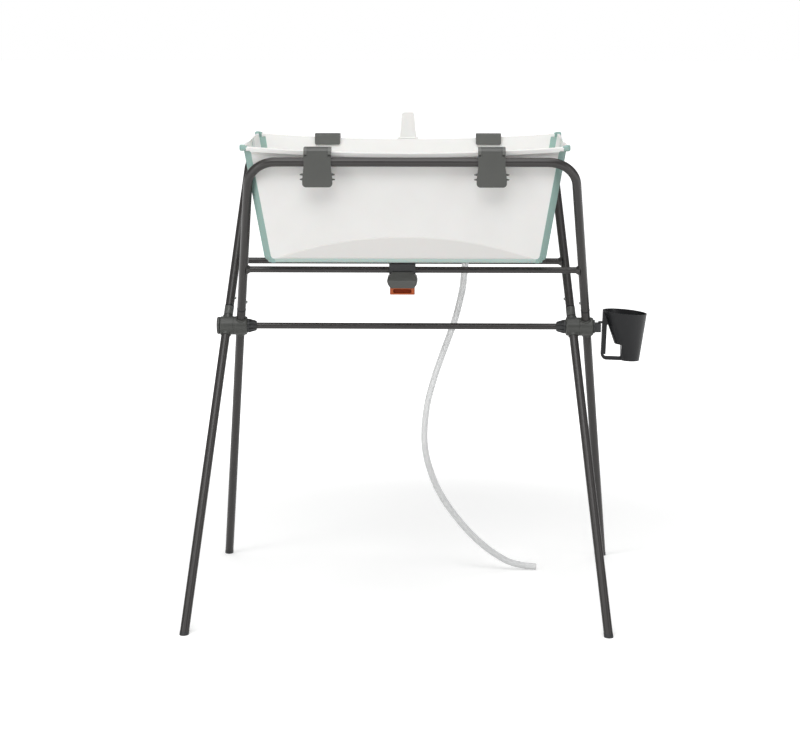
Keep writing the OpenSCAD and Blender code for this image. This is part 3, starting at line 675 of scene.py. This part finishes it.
@dataclass
class Studio:
    """Pale floor, soft lamps and the photograph's camera. Its sizes are metres."""

    camera_at: Point = (0.060, -4.8557, 1.3552)
    camera_tilt_deg: float = 80.0  # up from straight down
    camera_yaw_deg: float = 1.2
    lens_mm: float = 101.8
    sensor_mm: float = 36.0
    view_end: float = 100.0
    floor_size: float = 60.0
    floor_glow: float = 0.31  # white that the camera gets from the floor under the object
    glow_from: float = 0.9  # distance at which that white starts to rise
    glow_to: float = 2.2
    fill: float = 0.30  # strength of the even light from all round

    def camera(self) -> None:
        """Sets the camera at the photograph's place and angle."""
        data = bpy.data.cameras.new("photo_camera")
        data.lens, data.sensor_width, data.clip_end = self.lens_mm, self.sensor_mm, self.view_end
        camera = bpy.data.objects.new("photo_camera", data)
        camera.location = self.camera_at
        tilt, yaw = math.radians(self.camera_tilt_deg), math.radians(self.camera_yaw_deg)
        camera.rotation_euler = (tilt, 0.0, yaw)
        bpy.context.scene.collection.objects.link(camera)
        bpy.context.scene.camera = camera

    def floor(self) -> None:
        """Lays the pale floor, which the camera sees white except for the object's shadow."""
        half = self.floor_size / 2
        corners = [(-half, -half, 0.0), (half, -half, 0.0), (half, half, 0.0), (-half, half, 0.0)]
        floor = build_mesh("studio_floor", corners, [(0, 1, 2, 3)])
        paper, tree, place = new_material("backdrop_paper")
        seen = any_ray(tree, "Is Camera Ray", "Is Glossy Ray", "Is Transmission Ray")
        # White added for the camera fades the paper out away from the object, where no shadow falls
        away = add_node(tree, "ShaderNodeVectorMath", {0: place}, operation="LENGTH")
        reach = (self.glow_from, self.glow_to)
        glow = remap(tree, away.outputs["Value"], (self.floor_glow, 1.0), reach, smooth=True)
        pale = {"Color": linear("#f4f4f3"), "Roughness": 0.4}
        matt = add_node(tree, "ShaderNodeBsdfDiffuse", pale).outputs[0]
        lit = add_node(tree, "ShaderNodeEmission", {"Color": WHITE, "Strength": glow}).outputs[0]
        both = add_node(tree, "ShaderNodeAddShader", {0: matt, 1: lit}).outputs[0]
        mixed = add_node(tree, "ShaderNodeMixShader", {0: seen, 1: matt, 2: both}).outputs[0]
        add_node(tree, "ShaderNodeOutputMaterial", {"Surface": mixed})
        floor.data.materials.append(paper)

    def world(self) -> None:
        """Gives an even fill from all round, and white where the camera sees past the floor."""
        world = bpy.data.worlds.new("studio")
        world.use_nodes = True
        bpy.context.scene.world = world
        tree = world.node_tree
        tree.nodes.clear()
        seen = any_ray(tree, "Is Camera Ray", "Is Transmission Ray")
        soft = {"Color": linear("#f3f4f6"), "Strength": self.fill}
        fill = add_node(tree, "ShaderNodeBackground", soft).outputs[0]
        white = add_node(tree, "ShaderNodeBackground", {"Color": WHITE, "Strength": 1.0}).outputs[0]
        mixed = add_node(tree, "ShaderNodeMixShader", {0: seen, 1: fill, 2: white}).outputs[0]
        add_node(tree, "ShaderNodeOutputWorld", {"Surface": mixed})

    def lamp(
        self, name: str, at: Point, aim: Point, size: tuple[float, float], watts: float
    ) -> None:
        """Hangs one rectangular soft box.

        Args:
            name: Name of the lamp.
            at: Place of the lamp.
            aim: Point that it faces.
            size: Width and height.
            watts: Power of the lamp.
        """
        data = bpy.data.lights.new(name, "AREA")
        data.shape = "RECTANGLE"
        data.size, data.size_y = size
        data.energy = watts
        lamp = bpy.data.objects.new(name, data)
        lamp.location = at
        lamp.rotation_euler = (Vector(aim) - Vector(at)).to_track_quat("-Z", "Y").to_euler()
        bpy.context.scene.collection.objects.link(lamp)

    def build(self) -> None:
        """Makes the camera, floor, fill and lamps, and sets the plain view."""
        bpy.context.scene.view_settings.view_transform = "Standard"
        self.camera()
        self.floor()
        self.world()
        self.lamp("top_box", (0.0, -0.4, 3.6), (0.0, 0.0, 0.7), (3.2, 2.6), 53.5)
        self.lamp("front_box", (-0.4, -2.7, 3.4), (0.0, 0.0, 0.8), (2.6, 1.4), 49.0)
        self.lamp("left_box", (-2.6, -2.2, 1.5), (0.0, 0.0, 0.7), (1.0, 2.2), 24.0)
        self.lamp("right_box", (2.8, -1.6, 1.4), (0.0, 0.0, 0.7), (0.8, 2.2), 14.0)


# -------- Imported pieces, hose, stand, lock, clips and cup --------


def dress(node: str, finish: Material, round_mm: float = 0.0) -> None:
    """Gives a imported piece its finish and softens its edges.

    Args:
        node: Name of the piece.
        finish: Material for the whole piece.
        round_mm: Width of the bevel on its sharp edges, or 0 to leave them.
    """
    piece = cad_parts[node]
    piece.data.materials.clear()
    piece.data.materials.append(finish)
    if round_mm > 0:
        weld = piece.modifiers.new("joined_corners", "WELD")
        weld.merge_threshold = WELD_MM * MM
        bevel = piece.modifiers.new("rounded_edges", "BEVEL")
        bevel.width, bevel.segments = round_mm * MM, 2
        bevel.limit_method, bevel.angle_limit = "ANGLE", math.radians(BEVEL_DEG)
        # Wide faces keep their own normals, so that long thin ones beside them don't streak
        piece.modifiers.new("even_normals", "WEIGHTED_NORMAL").keep_sharp = True
    log.info("dressed %s", node)


@dataclass
class Assembly:
    """Sub-assembly of the bath."""

    finishes: Finishes
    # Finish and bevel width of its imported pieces, where a name can hold the side and the hand
    looks: ClassVar[dict[str, tuple[str, float]]] = {}

    def build(self) -> None:
        """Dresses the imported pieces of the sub-assembly."""
        for name, (finish, round_mm) in self.looks.items():
            nodes = [name.format(side=side, hand=hand) for side in Side for hand in Hand]
            for node in dict.fromkeys(nodes):
                dress(node, getattr(self.finishes, finish), round_mm)


@dataclass
class DrainHose(Assembly):
    """Clear hose that hangs from the spout and ends open on the floor."""

    diameter: float = 15.0
    wall: float = 1.9
    sides: int = 24
    steps: int = 8  # rings from one point of the route to the next
    route: tuple[Point, ...] = (
        (128, 44, 738.8), (127, 45, 720), (125, 46, 700), (122, 48, 672), (115, 54, 639),
        (107, 59, 607), (97, 65, 575), (86, 70, 544), (75, 76, 512), (64, 81, 480), (55, 87, 448),
        (47, 93, 416), (42, 99, 383), (39, 105, 350), (39, 111, 317), (43, 117, 284),
        (51, 124, 252), (62, 130, 220), (76, 136, 190), (93, 142, 161), (112, 149, 134),
        (132, 155, 108), (154, 163, 83), (178, 170, 60), (203, 178, 40), (231, 186, 22),
        (262, 192, 12), (295, 194, 7.8),
    )

    def centreline(self) -> list[Vector]:
        """Smooth points through the route, in metres.

        Returns:
            Points of a Catmull-Rom line through every point of the route.
        """
        way = [Vector((x - ORIGIN_X, y, z)) * MM for x, y, z in self.route]
        over = way[0] + Vector((0, 0, (way[0] - way[1]).length))
        way = [over, *way, way[-1] * 2 - way[-2]]
        line = []
        for p0, p1, p2, p3 in zip(way, way[1:], way[2:], way[3:]):
            for k in range(self.steps):
                t = k / self.steps
                square = (2 * p0 - 5 * p1 + 4 * p2 - p3) * t * t
                cube = (3 * p1 - p0 - 3 * p2 + p3) * t**3
                line.append(0.5 * (2 * p1 + (p2 - p0) * t + square + cube))
        return [*line, way[-2]]

    def build(self) -> None:
        line = self.centreline()
        outer, inner = [], []
        side = Vector((1, 0, 0))
        for at, ahead in zip(line, headings(line)):
            side = (side - ahead * side.dot(ahead)).normalized()
            up = ahead.cross(side)
            for shell, shrink in ((outer, 0.0), (inner, self.wall)):
                reach = (self.diameter / 2 - shrink) * MM
                shell.append([at + (side * c + up * s) * reach for c, s in circle(self.sides)])
        rings = outer + inner[::-1]
        faces = grid_faces(len(rings), self.sides, wrap_rows=True)
        hose = build_mesh("drain_hose_tube", [p for ring in rings for p in ring], faces)
        settle(hose, self.finishes.clear, "hose_clear", "drain_hose", body="drain_hose")


@dataclass
class Stand(Assembly):
    """Two crossed tube frames, with their hubs, feet and snap buttons."""

    looks = {
        "upper_frame_{side}": ("tube", 0.0),
        "lower_bar_{side}": ("tube", 0.0),
        "lower_legs_{side}": ("tube", 0.0),
        "hub_collars_{side}": ("hub", 1.0),
        "foot_caps_{side}": ("dark", 0.6),
        "snap_button_{side}_{hand}": ("steel", 0.0),
        "spreader": ("tube", 0.0),
        "hub_cones": ("dark", 0.4),
        "hub_axles": ("hub", 0.0),
        "cup_holder": ("dark", 0.5),
    }

    tube: float = 19.0
    hub_height: float = 597.0
    hub_half_width: float = 375.376  # from the middle to the axis of a leg, at its hub
    side_gap: float = 30.0  # between the two tubes that cross at a hub
    spread_deg: float = 29.3796  # of a frame away from upright
    lean_deg: float = 5.3885  # of a leg toward the middle
    joint_from_hub: float = 45.0  # up to where a lower leg goes into its upper frame
    # Radius over the tube's and height of the ring there, and of the sleeve under the rear rings
    ring: Profile = ((-0.3, -1.4), (0.3, -1.3), (0.5, -0.9), (0.5, 0.9), (0.3, 1.3), (-0.3, 1.4))
    sleeve: Profile = (
        (-0.3, -20.5), (0.5, -20.3), (0.7, -19.8), (0.7, -2.4), (0.3, -1.6), (-0.3, -1.5)
    )

    def leg_at(self, side: Side, hand: Hand, along: float) -> Vector:
        """Point on the axis of a leg.

        Args:
            side: Frame of the leg, named after its top bar.
            hand: Left or right leg.
            along: Height over the hub in the frame's own plane, in millimetres.

        Returns:
            The point in metres.
        """
        spread = math.radians(self.spread_deg)
        across = hand.sign * (self.hub_half_width - along * math.tan(math.radians(self.lean_deg)))
        shift = -side.sign * self.side_gap / 2
        y, z = side.sign * along * math.sin(spread), self.hub_height + along * math.cos(spread)
        return Vector((across + shift - ORIGIN_X, y, z)) * MM

    def joint_rings(self, side: Side, hand: Hand) -> None:
        """Puts the dark ring, whose dark colour is painted shade of the joint's gap, and at the
        rear a sleeve, where a leg goes into its frame.

        Args:
            side: Frame of the leg.
            hand: Hand of the leg.
        """
        foot, over = (self.leg_at(side, hand, self.joint_from_hub + up) for up in (0.0, 10.0))
        # The ring is drawn in the darkest plastic as painted shade of the gap where the leg goes in
        rings = [("joint_ring", self.ring, self.finishes.cup, "dark_plastic")]
        if side is Side.REAR:
            rings.append(("leg_sleeve", self.sleeve, self.finishes.clip, "hub_plastic"))
        for name, profile, finish, slot in rings:
            shape = [(self.tube / 2 + out, up) for out, up in profile]
            ring = lathe(f"{name}_{side}_{hand}", shape, foot, over - foot)
            settle(ring, finish, slot, body=f"{side}_frame")

    def build(self) -> None:
        """Dresses the tubes and fittings, and adds the rings at the joints of the legs."""
        super().build()
        for side in Side:
            for hand in Hand:
                self.joint_rings(side, hand)


@dataclass
class Lock(Assembly):
    """Fold lock on the lower front bar, with a darker field of painted shade in the hollow of its
    button.
    """

    looks = {
        "lock_housing": ("clip", 0.8),
        "lock_arm": ("clip", 0.5),
        # The saddle is dark plastic, and its wide plate in front of the neck is also a dark sheet
        # of painted shade for the deep shade under the bath
        "lock_saddle": ("dark", 0.5),
        "release_button": ("button", 0.6),
    }

    # Place and size of the painted shade in the button's hollow
    field_at: Point = (-7.0, -84.1, 685.5)
    field_width: float = 38.0
    field_height: float = 7.6
    field_round: float = 2.8
    field_steps: Profile = ((1.2, 0.0), (0.3, 0.0), (0.0, 0.5))  # depth and inset of each ring

    def build(self) -> None:
        """Dresses the lock, and puts the darker field of painted shade in the hollow of its button.
        """
        super().build()
        x0, y0, z0 = self.field_at
        sections = []
        for depth, inset in self.field_steps:
            wide = self.field_width / 2 - inset - self.field_round
            high = self.field_height / 2 - inset - self.field_round
            ring = []
            for c, s in circle(48):
                x = (wide if c > 0 else -wide) + c * self.field_round
                z = (high if s > 0 else -high) + s * self.field_round
                ring.append(((x0 + x - ORIGIN_X) * MM, (y0 + depth) * MM, (z0 + z) * MM))
            sections.append(ring)
        piece = loft("button_field", sections)
        settle(piece, self.finishes.grip, "button_orange", body="release_button")


@dataclass
class Clips(Assembly):
    """Clips that hold the bath on the top bars."""

    looks = {
        "clip_bases_{side}": ("clip_base", 0.6),
        "clip_pins_{side}": ("steel", 0.0),
        "clip_flap_{side}_{hand}": ("clip", 0.7),
    }


@dataclass
class RinseCup(Assembly):
    """Cup that hangs on the right hub."""

    looks = {"rinse_cup": ("cup", 0.5)}


# -------- Bath --------


@dataclass
class Tub(Assembly):
    """Stiff panels of the bath and the flexible seams between them."""

    looks = {
        "wall_{side}": ("wall", 0.5),
        "bottom_{side}": ("white", 0.4),
        "end_{side}_{hand}": ("white", 0.5),
        "drain_ring": ("white", 0.3),
        "drain_spout": ("clear", 0.0),
        "drain_plug": ("seam", 0.4),
        "closing_strap": ("white", 0.6),
        "strap_pin": ("steel", 0.0),
    }

    length: float = 664.0
    width: float = 392.0
    depth: float = 241.0
    floor_length: float = 586.0
    floor_width: float = 300.0
    floor_z: float = 756.0
    panel: float = 2.4  # thickness of the stiff panels
    rim_height: float = 8.0
    rim_out: float = 8.0  # reach of the rim beyond the middle plane of the wall
    rim_over_seam: float = 9.0
    seam_width: float = 13.0
    low_seam_width: float = 7.0
    floor_strip: float = 27.0  # half width of the soft strip along the bottom
    end_strip: float = 37.0  # half width of the soft strip up an end
    gusset_length: float = 142.6
    lip: float = 0.9  # reach of a corner seam over the panels beside it
    proud: float = 0.3  # height of the soft skins over the panels
    foot_round: float = 12.0  # radius of the bath's lower corners
    fillet: float = 7.0  # radius by which a lip widens over the lower corner of a wall
    web_half: float = 0.85  # half of the thickness of the soft webs
    overlap: float = 1.5  # reach of the webs under the strips at their edges
    gap: float = 0.2  # clearance of the soft pieces at the middle fold and under the rim's top

    def __post_init__(self) -> None:
        """Works out the lean of the panels."""
        self.floor_x, self.floor_y = self.floor_length / 2, self.floor_width / 2
        self.rim_x, self.rim_y = self.length / 2, self.width / 2
        self.wall_lean = math.atan((self.rim_y - self.floor_y) / self.depth)
        self.end_lean = math.atan((self.rim_x - self.floor_x) / self.depth)
        self.wall_height = math.hypot(self.rim_y - self.floor_y, self.depth)
        self.end_height = math.hypot(self.rim_x - self.floor_x, self.depth)
        self.skin = self.panel / 2 + self.proud
        self.slope = math.hypot(self.gusset_length, self.floor_y) / self.floor_y

    def on_wall(self, side: Side, along: float, up: float, off: float = 0.0) -> Vector:
        """Point of a long wall.

        Args:
            side: Which wall.
            along: Distance from the middle, in millimetres.
            up: Height up the wall.
            off: Distance outward from its middle plane.

        Returns:
            The point in metres.
        """
        y = self.floor_y + up * math.sin(self.wall_lean) + off * math.cos(self.wall_lean)
        z = self.floor_z + up * math.cos(self.wall_lean) - off * math.sin(self.wall_lean)
        return Vector((along - ORIGIN_X, side.sign * y, z)) * MM

    def on_end(self, hand: Hand, across: float, up: float, off: float = 0.0) -> Vector:
        """Point of an end.

        Args:
            hand: Which end.
            across: Y of the point, in millimetres.
            up: Height up the end.
            off: Distance outward from its middle plane.

        Returns:
            The point in metres.
        """
        x = self.floor_x + up * math.sin(self.end_lean) + off * math.cos(self.end_lean)
        z = self.floor_z + up * math.cos(self.end_lean) - off * math.sin(self.end_lean)
        return Vector((hand.sign * x - ORIGIN_X, across, z)) * MM

    def on_floor(self, x: float, y: float, off: float = 0.0) -> Vector:
        """Point of the bottom, off millimetres above its middle plane, in metres."""
        return Vector((x - ORIGIN_X, y, self.floor_z + off)) * MM

    def corner_edges(self, side: Side, hand: Hand, up: float) -> tuple[float, float, float]:
        """Edges of the two panels at a corner.

        Args:
            side: Long wall at the corner.
            hand: End at the corner.
            up: Height up the wall.

        Returns:
            The wall's edge along X, the end's edge across Y, and the height up the end.
        """
        x = self.floor_x - self.seam_width + up * (self.rim_x - self.floor_x) / self.wall_height
        y = self.floor_y - self.seam_width + up * (self.rim_y - self.floor_y) / self.wall_height
        return hand.sign * x, side.sign * y, up * self.end_height / self.wall_height

    def foot_inset(self, up: float) -> float:
        """Distance by which the rounded foot of a corner is drawn in.

        Args:
            up: Height up the wall, in millimetres.

        Returns:
            The distance in millimetres.
        """
        r = self.foot_round
        below = max(0.0, r - max(up, 0.0))
        return r - math.sqrt(max(0.0, r * r - below * below))

    def corner_piece(self, name: str, sections: Sections, side: Side, hand: Hand) -> None:
        """Lofts a soft piece that joins a wall and an end at their corner.

        Args:
            name: Name of the piece, without its corner.
            sections: Rings of its loft.
            side: Long side of the bath.
            hand: End of the bath.
        """
        x, y, up = self.corner_edges(side, hand, 0.0)
        start, end = self.on_wall(side, x, 0.0), self.on_end(hand, y, up)
        up = 100.0
        edge = self.on_wall(side, self.corner_edges(side, hand, up)[0], up) - start
        edge.normalize()
        across = end - start
        end = start + across - edge * across.dot(edge)
        tag = f"{side}_{hand}"
        piece = loft(f"{name}_{tag}", sections)
        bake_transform(piece)
        settle(piece, self.finishes.seam, "seam_rubber", f"seams_{side}")

    def corner_row(self, side: Side, hand: Hand, up: float, face: int) -> list[Vector]:
        """Points across a corner seam.

        Args:
            side: Long side of the bath.
            hand: End of the bath.
            up: Height up the wall, in millimetres.
            face: 1 for the outer face and -1 for the inner one.

        Returns:
            Points in metres.
        """
        x, y, end_up = self.corner_edges(side, hand, up)
        inset = self.foot_inset(up)
        drawn = Vector((-hand.sign * inset, -side.sign * inset, 0.0)) * MM
        crown = Vector((hand.sign * 0.7, side.sign * 0.7, 0.0)) * MM
        low, raised = face * (self.panel / 2 - 0.1), face * self.skin
        lip, lift, bead = self.lip, raised, 0.0
        if face > 0:
            # The outer lip widens in a fillet over the lower corner of the wall
            above = min(max(up - self.low_seam_width, 0.0), self.fillet)
            widen = self.fillet - math.sqrt(self.fillet**2 - (self.fillet - above) ** 2)
            lip, lift, bead = lip + widen, lift + 0.12 * min(1.0, widen), 0.9
        row = [
            self.on_wall(side, x - hand.sign * lip, up, low),
            self.on_wall(side, x - hand.sign * (lip - self.lip * 0.5), up, lift),
            self.on_wall(side, x - hand.sign * 0.1, up, raised),
        ]
        start = self.on_wall(side, x, up, raised)
        end = self.on_end(hand, y, end_up, raised) + drawn * 0.9
        for share in (k / 12 for k in range(1, 12)):
            swell = bead * math.sin(math.pi * share) ** 2
            row.append(start.lerp(end, share) + crown * swell)
        for back, off in ((0.1, raised), (self.lip * 0.5, raised), (self.lip, low)):
            row.append(self.on_end(hand, y - side.sign * back, end_up, off) + drawn)
        return row

    def corner_seam(self, side: Side, hand: Hand) -> None:
        """Builds the soft strip between a wall and an end, with lips over both panels.

        Args:
            side: Long side of the bath.
            hand: End of the bath.
        """
        low, middle, top = -1.5, 14.5, self.wall_height - self.rim_height / 2
        # Closer rows round the foot of the seam
        ups = [low + (middle - low) * (r / 20) ** 1.4 for r in range(20)]
        ups += [middle + (top - middle) * r / 20 for r in range(21)]
        sections = [two_faced(partial(self.corner_row, side, hand, up)) for up in ups]
        self.corner_piece("corner_seam", sections, side, hand)

    def rim_corner(self, side: Side, hand: Hand) -> None:
        """Builds the thick soft corner that joins the long rim to the end's rim.

        Args:
            side: Long side of the bath.
            hand: End of the bath.
        """
        x, y, end_up = self.corner_edges(side, hand, self.wall_height)
        first = self.on_wall(side, x + hand.sign * (self.rim_over_seam - 2), self.wall_height)
        last = self.on_end(hand, y - side.sign * 5, end_up)
        out_x, out_y = self.rim_x + 2.5, self.rim_y + 2.5
        peak_z = (first.z + last.z) / 2 / MM
        peak = Vector((hand.sign * out_x - ORIGIN_X, side.sign * out_y, peak_z)) * MM
        curve = [first, first.lerp(peak, 0.86), last.lerp(peak, 0.86), last]
        steps = 22
        path = [bezier(curve, k / steps) for k in range(steps + 1)]
        sections = []
        for k, (at, ahead) in enumerate(zip(path, headings(path))):
            out = Vector((ahead.y, -ahead.x, 0.0)).normalized()
            if out.dot(Vector((hand.sign, side.sign, 0.0))) < 0:
                out = -out
            # The corner swells toward the middle of its way
            swell = math.sin(math.pi * k / steps) ** 0.7
            tall, lift = 4.6 + 2.0 * swell, 0.4 + 0.8 * swell
            inner, outer = -1.9, 7.2 + 0.8 * swell
            half, middle = (outer - inner) / 2, (outer + inner) / 2
            ring = squared_circle(28, 0.55)
            sections.append(
                [at + (out * (c * half + middle) + UP * (lift + s * tall)) * MM for c, s in ring]
            )
        self.corner_piece("rim_corner", sections, side, hand)

    def rim_end(self, side: Side, hand: Hand) -> None:
        """Builds the end of the long rim, which reaches over the corner seam.

        Args:
            side: Long side of the bath.
            hand: End of the bath.
        """
        top = self.wall_height
        x = self.corner_edges(side, hand, top)[0]
        tall, deep = self.rim_height / 2, (self.panel / 2 + self.rim_out) / 2 - 0.05
        middle = self.rim_out / 2 - self.panel / 4
        sections = []
        for along, size in ((-0.4, 0.97), (6.0, 0.99), (8.2, 0.96), (self.rim_over_seam, 0.8)):
            at, high, wide = x + hand.sign * along, tall * size, deep * size
            ring = [(top + s * high, middle + c * wide) for c, s in squared_circle(32, 0.4)]
            sections.append([self.on_wall(side, at, *place) for place in ring])
        cap = loft(f"rim_end_{side}_{hand}", sections)
        settle(cap, self.finishes.white, "bath_white", body=f"{side}_wall")

    def bottom_row(self, side: Side, x: float, pinch: float, face: int) -> list[Vector]:
        """Points round a bottom seam.

        Args:
            side: Long side of the bath.
            x: Place along the seam.
            pinch: Share of the skin's height that is left there.
            face: 1 for the outer face and -1 for the inner one.

        Returns:
            Points in metres.
        """
        low, raised = face * (self.panel / 2 - 0.1), face * (self.panel / 2 + self.proud * pinch)
        wide, bend = self.low_seam_width, 3.2
        wall = [(wide + 0.7, low), (wide + 0.3, raised), (bend, raised)]
        row = [self.on_wall(side, x, up, off) for up, off in wall]
        floor = [(bend, -raised), (wide + 1.4, -raised), (wide + 2.0, -low)]
        ends = [self.on_floor(x, side.sign * (self.floor_y - inset), off) for inset, off in floor]
        knee = self.on_wall(side, x, -0.6 if face > 0 else 2.2, raised)
        curve = (row[-1], knee, ends[0])
        return [*row, *(bezier(curve, k / 8) for k in range(1, 8)), *ends]

    def bottom_seam(self, side: Side) -> None:
        """Builds the rounded soft edge between a long wall and the bottom.

        Args:
            side: Long side of the bath.
        """
        reach = self.floor_x - self.seam_width + 1.0
        rows = 60
        sections = []
        for share in (2 * r / (rows - 1) - 1 for r in range(rows)):
            # The skin thins out toward the corners
            pinch = 1.0 - 0.25 * max(0.0, abs(share) - 0.97) / 0.03
            row = partial(self.bottom_row, side, reach * share, pinch)
            sections.append(two_faced(row))
        seam = loft(f"bottom_seam_{side}", sections)
        bend = 3.6
        start = self.on_wall(side, 0.0, bend)
        end = self.on_floor(0.0, side.sign * (self.floor_y - bend))
        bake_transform(seam)
        settle(seam, self.finishes.seam_painted_light, "seam_rubber", f"seams_{side}")

    def corner_foot(self, side: Side, hand: Hand) -> None:
        """Builds the rounded soft cap where the corner seam and the bottom seams meet.

        Args:
            side: Long side of the bath.
            hand: End of the bath.
        """
        x, y, radius = self.floor_x - 12.0, self.floor_y - 9.5, 7.0
        middle, half = 2.2, 4.2
        sections = []
        for tilt in (math.pi * (r / 12 - 0.5) for r in range(13)):
            reach = radius * max(math.cos(tilt), 0.02) ** 0.6
            up = middle + math.copysign(abs(math.sin(tilt)) ** 0.8, tilt) * half
            ring = [(x + c * reach, y + s * reach) for c, s in squared_circle(32, 0.8)]
            sections.append([self.on_floor(hand.sign * a, side.sign * b, up) for a, b in ring])
        self.corner_piece("corner_foot", sections, side, hand)

    def end_fold(self, side: Side, hand: Hand) -> None:
        """Builds one half of the ribbed flexible strip down the middle of an end.

        Args:
            side: Long side of the bath.
            hand: End of the bath.
        """
        tag = f"{side}_{hand}"
        off = self.on_end(hand, 0.0, 0.0, 1.0) - self.on_end(hand, 0.0, 0.0)
        low, top = self.low_seam_width, self.end_height + self.rim_height / 2 - self.gap
        ups = [low + (top - low) * k / 10 for k in range(11)]
        edge, seam, skin = self.end_strip, (self.finishes.seam, "seam_rubber"), Strip(self.skin)
        web = (self.finishes.web, "bath_white")
        for name, strip, near, far, heights, look in (
            ("end_web", Strip(self.web_half, ribs=0.45), edge + self.overlap, 3.0, ups, web),
            ("end_hinge", skin, 0.15, 4.5, (low, top + 0.4), seam),
            ("end_edge", skin, edge - self.overlap, edge + 3.0, (low, top + 0.4), seam),
        ):
            pair = (side.sign * near, side.sign * far)
            rows = [tuple(self.on_end(hand, y, up) for y in pair) for up in heights]
            piece = strip.build(f"{name}_{tag}", rows, off)
            settle(piece, *look, f"end_crease_{tag}", body=f"{tag}_end")

    def foot_row(self, side: Side, hand: Hand, share: float, face: int) -> list[Vector]:
        """Points down the foot of an end and round under it.

        Args:
            side: Long side of the bath.
            hand: End of the bath.
            share: Share of the way from the middle fold to the corner.
            face: 1 for the outer face and -1 for the inner one.

        Returns:
            Points in metres.
        """
        r, outer = self.foot_round, self.floor_y - self.seam_width - 0.3
        turns = [0, *range(0, 91, 10)]
        row = []
        for n, degrees in enumerate(turns):
            c, s = math.cos(math.radians(degrees)), math.sin(math.radians(degrees))
            # Thinner at both edges, and shorter row by row toward the lower one
            thick = face * self.skin * (0.35 if n in (0, len(turns) - 1) else 1.0)
            reach = outer - 0.5 * max(0, n - 2) - self.gap
            across = side.sign * (self.gap + reach * share)
            up = r - r * s + (0.0 if n else 2.0)
            row.append(self.on_end(hand, across, up - thick * s, r * c - r + thick * c))
        return row

    def end_foot(self, side: Side, hand: Hand) -> None:
        """Builds the soft strip at the foot of an end, rounded where it turns under the end.

        Args:
            side: Long side of the bath.
            hand: End of the bath.
        """
        tag = f"{side}_{hand}"
        sections = [two_faced(partial(self.foot_row, side, hand, k / 12)) for k in range(13)]
        foot = loft(f"end_foot_{tag}", sections)
        settle(foot, self.finishes.seam, "seam_rubber", f"end_crease_{tag}", body=f"{tag}_end")

    def gusset_x(self, y: float) -> float:
        """X of the crease between the bottom and a gusset, at a distance y from the middle."""
        return self.floor_x - self.gusset_length * (1 - y / self.floor_y)

    def floor_fold(self, side: Side) -> None:
        """Builds one half of the flexible strip along the middle of the bottom.

        Args:
            side: Long side of the bath.
        """
        edge = self.floor_strip
        web_rows, hinge_rows, edge_rows = [], [], []
        for k in range(9):
            y = 3.5 + (edge + self.overlap - 3.5) * k / 8
            reach = self.gusset_x(y) - 7.0 * self.slope
            web_rows.append(tuple(self.on_floor(x, side.sign * y) for x in (-reach, reach)))
        # The middle strips lie on top of the fold, so that their undersides clear each other
        for rows, near, far, lift in (
            (hinge_rows, 0.7, 4.5, 0.6),
            (edge_rows, edge - self.overlap, edge + 3.0, 0.0),
        ):
            for share in (2 * k / 40 - 1 for k in range(41)):
                row = []
                for y in (near, far):
                    reach = self.gusset_x(y) - 0.5 * self.slope
                    row.append(self.on_floor(share * reach, side.sign * y, lift))
                rows.append(tuple(row))
        for name, rows, half, finish, slot in (
            ("floor_web", web_rows, self.web_half, self.finishes.web, "bath_white"),
            ("floor_hinge", hinge_rows, 0.6, self.finishes.seam, "seam_rubber"),
            ("floor_edge", edge_rows, self.skin, self.finishes.seam, "seam_rubber"),
        ):
            piece = Strip(half).build(f"{name}_{side}", rows, UP)
            node, body = f"bottom_crease_{side}", f"{side}_bottom"
            settle(piece, finish, slot, node, body=body)

    def gusset(self, side: Side, hand: Hand) -> None:
        """Builds the soft triangle between the bottom and an end, and the seam on its crease.

        Args:
            side: Long side of the bath.
            hand: End of the bath.
        """
        tag = f"{side}_{hand}"
        rows = []
        for k in range(13):
            y = self.gap + (self.floor_y - self.seam_width - 3.0) * k / 12
            pair = (self.gusset_x(y) + 4.0, self.floor_x - self.foot_round)
            rows.append(tuple(self.on_floor(hand.sign * x, side.sign * y) for x in pair))
        web = Strip(0.6).build(f"gusset_web_{tag}", rows, UP)
        settle(web, self.finishes.web, "bath_white", f"gusset_{tag}", body=f"{tag}_gusset")
        # Seam on the crease, half on the bottom and half on the gusset
        along = Vector((self.gusset_length, self.floor_y, 0.0)).normalized()
        across = Vector((along.y, -along.x, 0.0))
        first, last = 3.0, math.hypot(self.gusset_length, self.floor_y) - 17.0
        foot = Vector((self.floor_x - self.gusset_length, 0.0, 0.0))
        rows = []
        for k in range(25):
            at = foot + along * (first + (last - first) * k / 24)
            row = []
            for edge in (at - across * 7.5, at + across * 3.0):
                y = side.sign * max(edge.y, self.gap)
                row.append(self.on_floor(hand.sign * edge.x, y))
            rows.append(tuple(row))
        crease = BendingStrip(self.panel / 2 + 0.1).build(f"gusset_seam_{tag}", rows, UP)
        half_bend = Vector((hand.sign * across.x, side.sign * across.y, 0.0)) * MM * 1.2
        at = foot + along * 90.0
        middle = self.on_floor(hand.sign * at.x, side.sign * at.y)
        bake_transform(crease)
        nodes = (f"gusset_{tag}", f"bottom_crease_{side}")
        settle(crease, self.finishes.seam, "seam_rubber", *nodes)

    def build(self) -> None:
        """Dresses the panels and the drain, and builds the seams."""
        super().build()
        for side in Side:
            self.bottom_seam(side)
            self.floor_fold(side)
            for hand in Hand:
                self.corner_seam(side, hand)
                self.rim_corner(side, hand)
                self.rim_end(side, hand)
                self.corner_foot(side, hand)
                self.end_fold(side, hand)
                self.end_foot(side, hand)
                self.gusset(side, hand)


def main() -> None:
    """Builds the whole scene in order."""
    logging.basicConfig(level=logging.INFO, format="%(name)s: %(message)s")
    finishes = Finishes()
    Studio().build()
    for assembly in (DrainHose, Stand, Lock, Clips, Tub, RinseCup):
        assembly(finishes).build()
        log.info("built %s", assembly.__name__)


if __name__ == "__main__":
    main()
